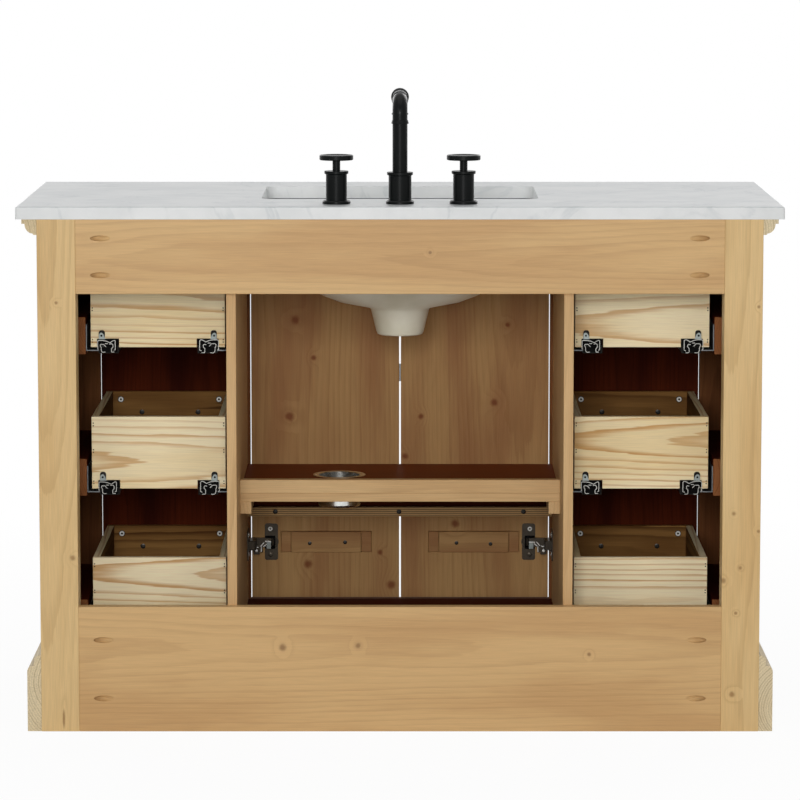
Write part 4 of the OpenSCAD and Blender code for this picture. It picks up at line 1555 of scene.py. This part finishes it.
@dataclass
class Hinges:
    """Four concealed hinges: cups in the doors, arms on the partitions."""

    heights: Pair = (228.0, 688.0)
    cup_x: float = 221.5
    plate_y: float = -225.9
    screw_x: float = 2.0
    screw_z: float = 22.5
    throat_x: Pair = (-6.4, 10.8)
    throat_z: Pair = (-12.4, 10.6)
    throat_y: Triple = (-1.0, 0.4, 1.1)
    barrel_at: Pair = (-2.4, 1.4)
    barrel: tuple[Pair, ...] = (
        (0, -6.5), (1.9, -6.5), (2.3, -6.0), (2.3, 6.0), (1.9, 6.5), (0, 6.5),
    )
    arm_back: float = -218.0
    arm_fronts: Triple = (-214.2, -211.8, -213.4)
    edge_y: Pair = (-214.3, -211.4)
    pin_at: Triple = (246.8, -211.8, -13.4)
    wall_screw: Triple = (259.5, -197.0, 17.0)
    saddle_z: float = 8.2
    link: tuple[Pair, ...] = (
        (221.5, 3.4), (233.5, 3.4), (241.8, -5.2), (251.2, -5.2), (251.2, -9.0), (240.0, -16.6),
        (236.2, -16.6), (235.8, -8.0), (229.5, -2.0), (221.5, -2.0),
    )
    knuckle: tuple[Pair, ...] = ((241.4, -5.6), (251.4, -5.6), (251.4, -20.0), (241.4, -20.0))
    tip: tuple[Pair, ...] = ((222.0, 2.6), (229.2, 2.6), (229.2, -10.2), (222.0, -10.2))
    saddle: tuple[Pair, ...] = (
        (258.9, -181.0), (248.2, -186.0), (247.0, -200.0), (250.0, -212.0),
    )
    # Lines along the arm's face that carry painted highlights: from and to, in X and lift
    edges: tuple[tuple[Pair, Pair], ...] = (
        ((221.6, 2.0), (232.2, 2.0)), ((239.9, -5.2), (234.0, 1.2)), ((235.4, -5.9), (230.0, -1.6)),
        ((237.8, -6.2), (237.8, -15.6)), ((249.8, -6.8), (243.2, -6.8)),
    )

    def cup(self, piece: Workpiece, side: Side, z: float) -> None:
        """Adds the cup's throat, black as its painted shade, its spring and its two screws.

        Args:
            piece: Piece that rides on the door.
            side: The door's side.
            z: Height of the hinge.
        """
        dark, light, black = range(3)
        way = side.value
        x, y = way * self.cup_x, self.plate_y
        screw_x = x + way * self.screw_x
        piece.ringed_screw((screw_x, y, z + self.screw_z), REAR, 3.9, light, dark)
        piece.join(screw((screw_x, y, z - self.screw_z), REAR, 3.7, 1.0), dark)
        low, high = sorted(x + way * u for u in self.throat_x)
        foot, top = (z + v for v in self.throat_z)
        back, floor, lip = (y + w for w in self.throat_y)
        # The throat's walls and floor are black as painted shade in the recess.
        for a, b in ((low, low + 2.6), (high - 1.6, high)):
            piece.join(block((a, back, foot), (b, lip, top), 0.6), black)
        for a, b in ((foot, foot + 2.4), (top - 2.6, top)):
            piece.join(block((low, back, a), (high, lip, b), 0.6), black)
        piece.join(block((low, back, foot), (high, floor, top), 0.3), black)
        barrel_x, barrel_y = self.barrel_at
        at = (x + way * barrel_x, y + barrel_y, z)
        piece.join(turned(self.barrel, at, UP, 16), dark)

    def arm(self, piece: Workpiece, side: Side, z: float) -> None:
        """Adds the arm's links, cover and screws.

        Args:
            piece: Piece that stays with the cabinet.
            side: The door's side.
            z: Height of the hinge.
        """
        dark, light, grey = range(3)
        way = side.value
        shapes = ((dark, self.link), (dark, self.knuckle), (grey, self.tip))
        for (finish, shape), front in zip(shapes, self.arm_fronts):
            points = [(way * x, z + lift) for x, lift in shape]
            piece.join(outline(points, self.arm_back, front, Axis.Y), finish, False)
        # Thin strips along the arm's edges are near white as painted highlights.
        for edge in self.edges:
            points = [(way * x, z + lift) for x, lift in edge]
            piece.join(strip(points, *self.edge_y, Axis.Y, 1.5), light, False)
        # The pin and wall screws are near white nickel, partly painted highlight.
        x, y, lift = self.pin_at
        piece.join(screw((way * x, y, z + lift), REAR, 2.4, 0.7), light)
        x, y, lift = self.wall_screw
        for height in (z - lift, z + lift):
            piece.join(screw((way * x, y, height), Vector((-way, 0, 0)), 3.4, 1.0), light)
        saddle = [(way * x, y) for x, y in self.saddle]
        foot, top = z - self.saddle_z, z + self.saddle_z
        piece.join(strip(saddle, foot, top, Axis.Z, 1.2), dark, False)

    def build(self) -> None:
        """Dresses the hinges' solids and adds what each one carries."""
        coat_node("hinge_arms", HINGE_DARK)
        arms = Workpiece("hinge_arm_links", HINGE_DARK, NICKEL_PAINTED_HIGHLIGHT, HOOK_STEEL)
        for side in Side:
            smooth_copy(f"{side.word}_hinge_cups", "hinge_steel", HINGE_DARK)
            name = f"{side.word}_hinge_cup_parts"
            cups = Workpiece(name, HINGE_DARK, NICKEL_PAINTED_HIGHLIGHT, BLACK_NYLON_AND_SHADE)
            for z in self.heights:
                self.cup(cups, side, z)
                self.arm(arms, side, z)
            cups.hand_in(f"{side.word}_door_body", "hinge_steel")
        arms.hand_in("cabinet", "hinge_steel")


@dataclass
class Drawers:
    """Six drawers: box, show front and pull, with their screws and brads."""

    middle: float = 394.0
    wall: float = 97.5
    floor_y: float = 105.0
    panel_y: float = -215.5
    back_y: float = 122.5
    # Screws whose rims carry painted highlights, then plain dark screws: X from the drawer's middle and
    # lift
    bright: tuple[Pair, ...] = ((84.0, 105.0), (-84.0, 105.0))
    dark: tuple[Pair, ...] = ((48.0, 83.0), (-48.0, 83.0))
    brads: tuple[float, ...] = (8.4, 12.4, 60.0, 64.2, 103.6, 108.0)
    brad_x: float = 106.4
    brad: Triple = (1.1, 0.9, 0.3)
    screw_r: float = 4.4

    def inside(self, centre: Vector, normal: Vector) -> bool:
        """Picks the faces that look into a box, which get painted shade.

        Args:
            centre: A face's centre.
            normal: Its normal.

        Returns:
            True on the walls, the front board and the bottom, seen from within.
        """
        between = abs(abs(centre.x) - self.middle * MM) < self.wall * MM
        wall = between and abs(normal.x) > FACING
        front = centre.y < (self.panel_y + 0.3) * MM and normal.y > FACING
        floor = normal.z > FACING and between and centre.y < self.floor_y * MM
        return wall or front or floor

    def fixings(self, drawer: str, side: Side, low: float) -> None:
        """Adds the screws of the show front and the brads of the box's corners.

        Args:
            drawer: The drawer's name.
            side: The cabinet's side that it is in.
            low: Z of the box's lower edge.
        """
        piece = Workpiece(f"{drawer}_fixings", NICKEL_PAINTED_HIGHLIGHT, SCREW_DARK, BLACK_NYLON_AND_SHADE)
        bright, dark, black = range(3)
        foot, top, proud = self.brad
        centre = side.value * self.middle
        # Near white rims as painted highlights, over dark discs as painted shade.
        for x, z in self.bright:
            at = (centre + x, self.panel_y, low + z)
            piece.ringed_screw(at, REAR, self.screw_r, bright, dark)
        for x, z in self.dark:
            at = (centre + x, self.panel_y, low + z)
            piece.join(screw(at, REAR, self.screw_r, 0.9), dark)
        for way in (-1, 1):
            for z in self.brads:
                pin = bmesh.new()
                bmesh.ops.create_cone(
                    pin, cap_ends=True, segments=8, radius1=foot * MM, radius2=top * MM,
                    depth=proud * MM,
                )
                place(pin, (centre + way * self.brad_x, self.back_y + 0.1, low + z), REAR)
                piece.join(pin, black)
        piece.hand_in(drawer, "hinge_steel")

    def build(self) -> None:
        """Dresses every drawer."""
        for drawer, side, low in drawers():
            box, front = f"{drawer}_box", f"{drawer}_front"
            # The faces inside each box get the darker pine as painted shade.
            Timber(box, "drawer_pine", RAW_DRAWER, DRAWER_INSIDE_PAINTED_SHADE, self.inside, 0.6).dress()
            Timber(front, "washed_pine", STAIN_AND_PAINTED_SHADE, WASHED, AT_FRONT).dress()
            smooth_copy(f"{drawer}_pull", "pull_black", PULL_BLACK)
            self.fixings(drawer, side, low)


@dataclass
class Slides:
    """Undermount slides: fixed rails, runners, and the brackets at their rear ends."""

    walls: Pair = (277.0, 511.0)
    end_y: float = 122.5
    gauge: float = 1.05
    web: float = 19.0
    edge_y: Pair = (2.1, 3.0)
    tab_y: Pair = (2.0, 3.2)
    hole_at: Pair = (25.4, 19.2)
    hole: Pair = (1.7, 0.4)
    tab_round: float = 4.4
    cap: tuple[Pair, ...] = (
        (20.0, -3.5), (18.7, -3.0), (18.7, 10.6), (20.2, 11.9), (27.0, 11.9), (33.0, 10.9),
        (36.8, 9.2), (39.2, 8.2), (41.4, 9.8), (45.0, 11.9), (47.0, 11.9), (48.3, 10.6),
        (48.3, -4.2), (45.6, -5.2),
    )
    left_leg: tuple[Pair, ...] = (
        (31.6, -8.2), (27.0, -8.4), (25.2, -7.2), (24.3, -4.4), (24.5, -0.6), (23.0, 2.4),
        (23.0, 4.6), (24.2, 5.6), (29.2, 5.4), (33.0, 1.2),
    )
    right_leg: tuple[Pair, ...] = (
        (46.3, -8.2), (42.0, -8.2), (41.1, -7.2), (41.1, -2.2), (43.5, 0.6), (43.5, 4.0),
        (41.6, 5.6), (38.2, 4.9),
    )
    crosspiece: tuple[Pair, ...] = ((31.0, 6.7), (35.6, 6.6))
    cage: tuple[tuple[Pair, Pair, Pair], ...] = (
        ((22.4, 49.6), (-8.4, 0.0), (-3.0, 2.2)), ((18.2, 51.8), (2.5, 13.6), (-2.0, 2.2)),
        ((30.0, 43.0), (0.0, 2.5), (-3.0, 2.0)),
    )
    tongue: tuple[Pair, ...] = (
        (21.2, 13.4), (31.6, 13.4), (30.6, 17.0), (28.8, 21.2), (26.6, 23.6), (24.2, 24.0),
        (22.0, 22.4), (21.2, 19.6),
    )

    def channel_end(self, centre: Vector, normal: Vector) -> bool:
        """Picks the rails' rear ends, but for the flange and the web at the wall.

        Args:
            centre: A face's centre.
            normal: Its normal.

        Returns:
            True where the end is near black as painted shade.
        """
        beyond = min(abs(abs(centre.x) - wall * MM) for wall in self.walls)
        return normal.y > FACING and beyond > self.web * MM

    def round_tabs(self, part: BMesh) -> None:
        """Rounds the upper corners of the runners' hook tabs.

        Args:
            part: Copy of a drawer's runners.
        """
        top = max(vert.co.z for vert in part.verts) - 0.2 * MM
        corners = [
            e for e in part.edges
            if min(v.co.z for v in e.verts) > top
            and abs(e.verts[0].co.y - e.verts[1].co.y) > 1.5 * MM
            and e.calc_face_angle(0.0) > ARRIS
        ]
        ease(part, corners, self.tab_round, 5)

    def rear_end(self, piece: Workpiece, wall: float, way: float, z: float) -> None:
        """Adds one fixed rail's nylon cage and the outlines of its rear end, light grey as painted
        highlights.

        Args:
            piece: Piece that stays on the cabinet.
            wall: X of the wall that the slide hangs on.
            way: Direction from that wall to the drawer's middle, 1 or -1.
            z: Height of the slide's zero line.
        """
        y = self.end_y
        for across, upright, deep in self.cage:
            a, b = sorted(wall + way * u for u in across)
            low, high = ((x, y + v, z + w) for x, v, w in zip((a, b), deep, upright))
            piece.join(block(low, high, 0.35, 1), 0)
        # Strips along the sheet's edges are light grey as painted highlights.
        for wire in (self.cap, self.left_leg, self.right_leg, self.crosspiece):
            points = [(wall + way * u, z + v) for u, v in wire]
            back, front = (y + w for w in self.edge_y)
            piece.join(strip(points, back, front, Axis.Y, self.gauge), 1, False)

    def hook(self, piece: Workpiece, wall: float, way: float, z: float) -> None:
        """Adds the bright face of one runner's hook tab and a black disc as the painted shade of its
        hole.

        Args:
            piece: Piece that rides on the drawer.
            wall: X of the wall that the slide hangs on.
            way: Direction from that wall to the drawer's middle, 1 or -1.
            z: Height of the slide's zero line.
        """
        y = self.end_y
        points = [(wall + way * u, z + v) for u, v in self.tongue]
        back, front = (y + w for w in self.tab_y)
        piece.join(outline(points, back, front, Axis.Y), 1, False)
        # A black disc paints the shade of the tab's hole.
        radius, deep = self.hole
        dot = [(0, 0), (radius, 0), (radius, deep), (0, deep)]
        across, lift = self.hole_at
        piece.join(turned(dot, (wall + way * across, front, z + lift), REAR, 10), 0)

    def build(self) -> None:
        """Plates the rails and dresses each drawer's runners."""
        # The rails' rear ends, but for flange and web, are near black as painted shade.
        coat_node("slide_rails", RAIL_STEEL, RUNNER_STEEL, self.channel_end)
        fixed = Workpiece("slide_rail_ends", BLACK_NYLON_AND_SHADE, SHEET_EDGE_PAINTED_HIGHLIGHT)
        for drawer, side, z in drawers():
            smooth_copy(f"{drawer}_runners", "slide_steel", RUNNER_STEEL, self.round_tabs)
            piece = Workpiece(f"{drawer}_slide_ends", BLACK_NYLON_AND_SHADE, HOOK_STEEL)
            for wall, inward in zip(self.walls, (1, -1)):
                wall_x, way = side.value * wall, side.value * inward
                self.rear_end(fixed, wall_x, way, z)
                self.hook(piece, wall_x, way, z)
            piece.hand_in(drawer, "slide_steel")
        fixed.hand_in("cabinet", "slide_steel")


@dataclass
class Studio:
    """Pale floor, soft lamps and the camera behind the cabinet."""

    eye: Triple = (0.0, 6797.5, 1350.0)
    aim: Triple = (0.0, 279.5, 537.0)
    lens: float = 185.7
    lit: Triple = (0.0, 0.0, 0.5)
    lamps: tuple[tuple[str, Triple, float, float], ...] = (
        ("rear_key", (0.3, 6.9, 1.8), 1.7, 172.0),
        ("rear_left", (2.6, 5.0, 2.4), 2.4, 24.0),
        ("rear_right", (-2.6, 5.2, 2.2), 2.4, 20.0),
        ("overhead", (0.0, 0.8, 4.4), 3.5, 45.0),
        ("front_left", (-2.8, -5.0, 3.2), 3.0, 100.0),
        ("front_right", (3.0, -5.2, 2.4), 3.0, 80.0),
    )

    def seen(self, graph: Graph) -> bpy.types.Node:
        """Tells the rays that show the background, straight, mirrored or through glass.

        Args:
            graph: Graph of the backdrop.

        Returns:
            Node that gives 1 for those rays and 0 for the rest.
        """
        path = graph.add("LightPath").outputs
        mirrored = graph.maths("MAXIMUM", path["Is Glossy Ray"], path["Is Transmission Ray"])
        return graph.maths("MAXIMUM", path["Is Camera Ray"], mirrored)

    def floor(self) -> None:
        """Lays a floor that shows white and keeps a soft shadow."""
        material, graph = blank("pale_floor")
        place = graph.place()
        white = graph.ramp(graph.vector("LENGTH", place), 0.7, 2.2, 0.95, 1.0, smooth=False)
        share = graph.maths("MULTIPLY", self.seen(graph), white)
        tone = graph.blend(graph.noise(place, 30.0, 2.0), "#f4f4f2", "#efefed")
        matt = graph.add("BsdfDiffuse", {"Color": tone})
        glow = graph.add("Emission", {"Color": (1, 1, 1, 1), "Strength": 1.0})
        both = graph.add("MixShader", {0: share, 1: matt, 2: glow})
        graph.add("OutputMaterial", {"Surface": both})
        sheet = bmesh.new()
        bmesh.ops.create_grid(sheet, x_segments=8, y_segments=8, size=60.0)
        bmesh.ops.translate(sheet, vec=(0, 0, -0.0002), verts=sheet.verts)
        mesh = bpy.data.meshes.new("floor")
        sheet.to_mesh(mesh)
        sheet.free()
        mesh.materials.append(material)
        floor = bpy.data.objects.new("floor", mesh)
        bpy.context.scene.collection.objects.link(floor)

    def world(self) -> None:
        """Sets an even sky, white where it is seen."""
        world = bpy.data.worlds.new("studio")
        world.use_nodes = True
        graph = Graph(world.node_tree)
        power = graph.ramp(self.seen(graph), 0.0, 1.0, 0.17, 1.0, smooth=False)
        sky = graph.add("Background", {"Color": (1, 1, 1, 1), "Strength": power})
        graph.add("OutputWorld", {"Surface": sky})
        bpy.context.scene.world = world

    def stand(
        self, name: str, data: bpy.types.ID, at: Vector, aim: Vector
    ) -> bpy.types.Object:
        """Sets up a lamp or camera and turns it to its aim.

        Args:
            name: Its name.
            data: The lamp's or camera's data.
            at: Its place in metres.
            aim: What it looks at, in metres.

        Returns:
            The object.
        """
        thing = bpy.data.objects.new(name, data)
        thing.location = at
        thing.rotation_mode = "QUATERNION"
        thing.rotation_quaternion = (aim - at).to_track_quat("-Z", "Y")
        bpy.context.scene.collection.objects.link(thing)
        return thing

    def build(self) -> None:
        """Sets up floor, world, square lamps and camera."""
        self.floor()
        self.world()
        for name, at, size, power in self.lamps:
            light = bpy.data.lights.new(name, "AREA")
            light.shape = "SQUARE"
            light.size = size
            light.energy = power
            self.stand(name, light, Vector(at), Vector(self.lit))
        lens = bpy.data.cameras.new("rear_view")
        lens.lens = self.lens
        lens.sensor_width = 36.0
        lens.clip_end = 200.0
        scene = bpy.context.scene
        scene.camera = self.stand("rear_view", lens, Vector(self.eye) * MM, Vector(self.aim) * MM)
        scene.view_settings.view_transform = "Standard"


def main() -> None:
    """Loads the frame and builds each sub-assembly."""
    logging.basicConfig(level=logging.INFO, format="%(name)s: %(message)s")
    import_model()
    for assembly in (
        Studio(), Counter(), Sink(), Faucet(), Carcass(), Mouldings(), Shelf(), Doors(),
        Hinges(), Drawers(), Slides(),
    ):
        assembly.build()
        LOG.info("built %s", type(assembly).__name__)


if __name__ == "__main__":
    main()
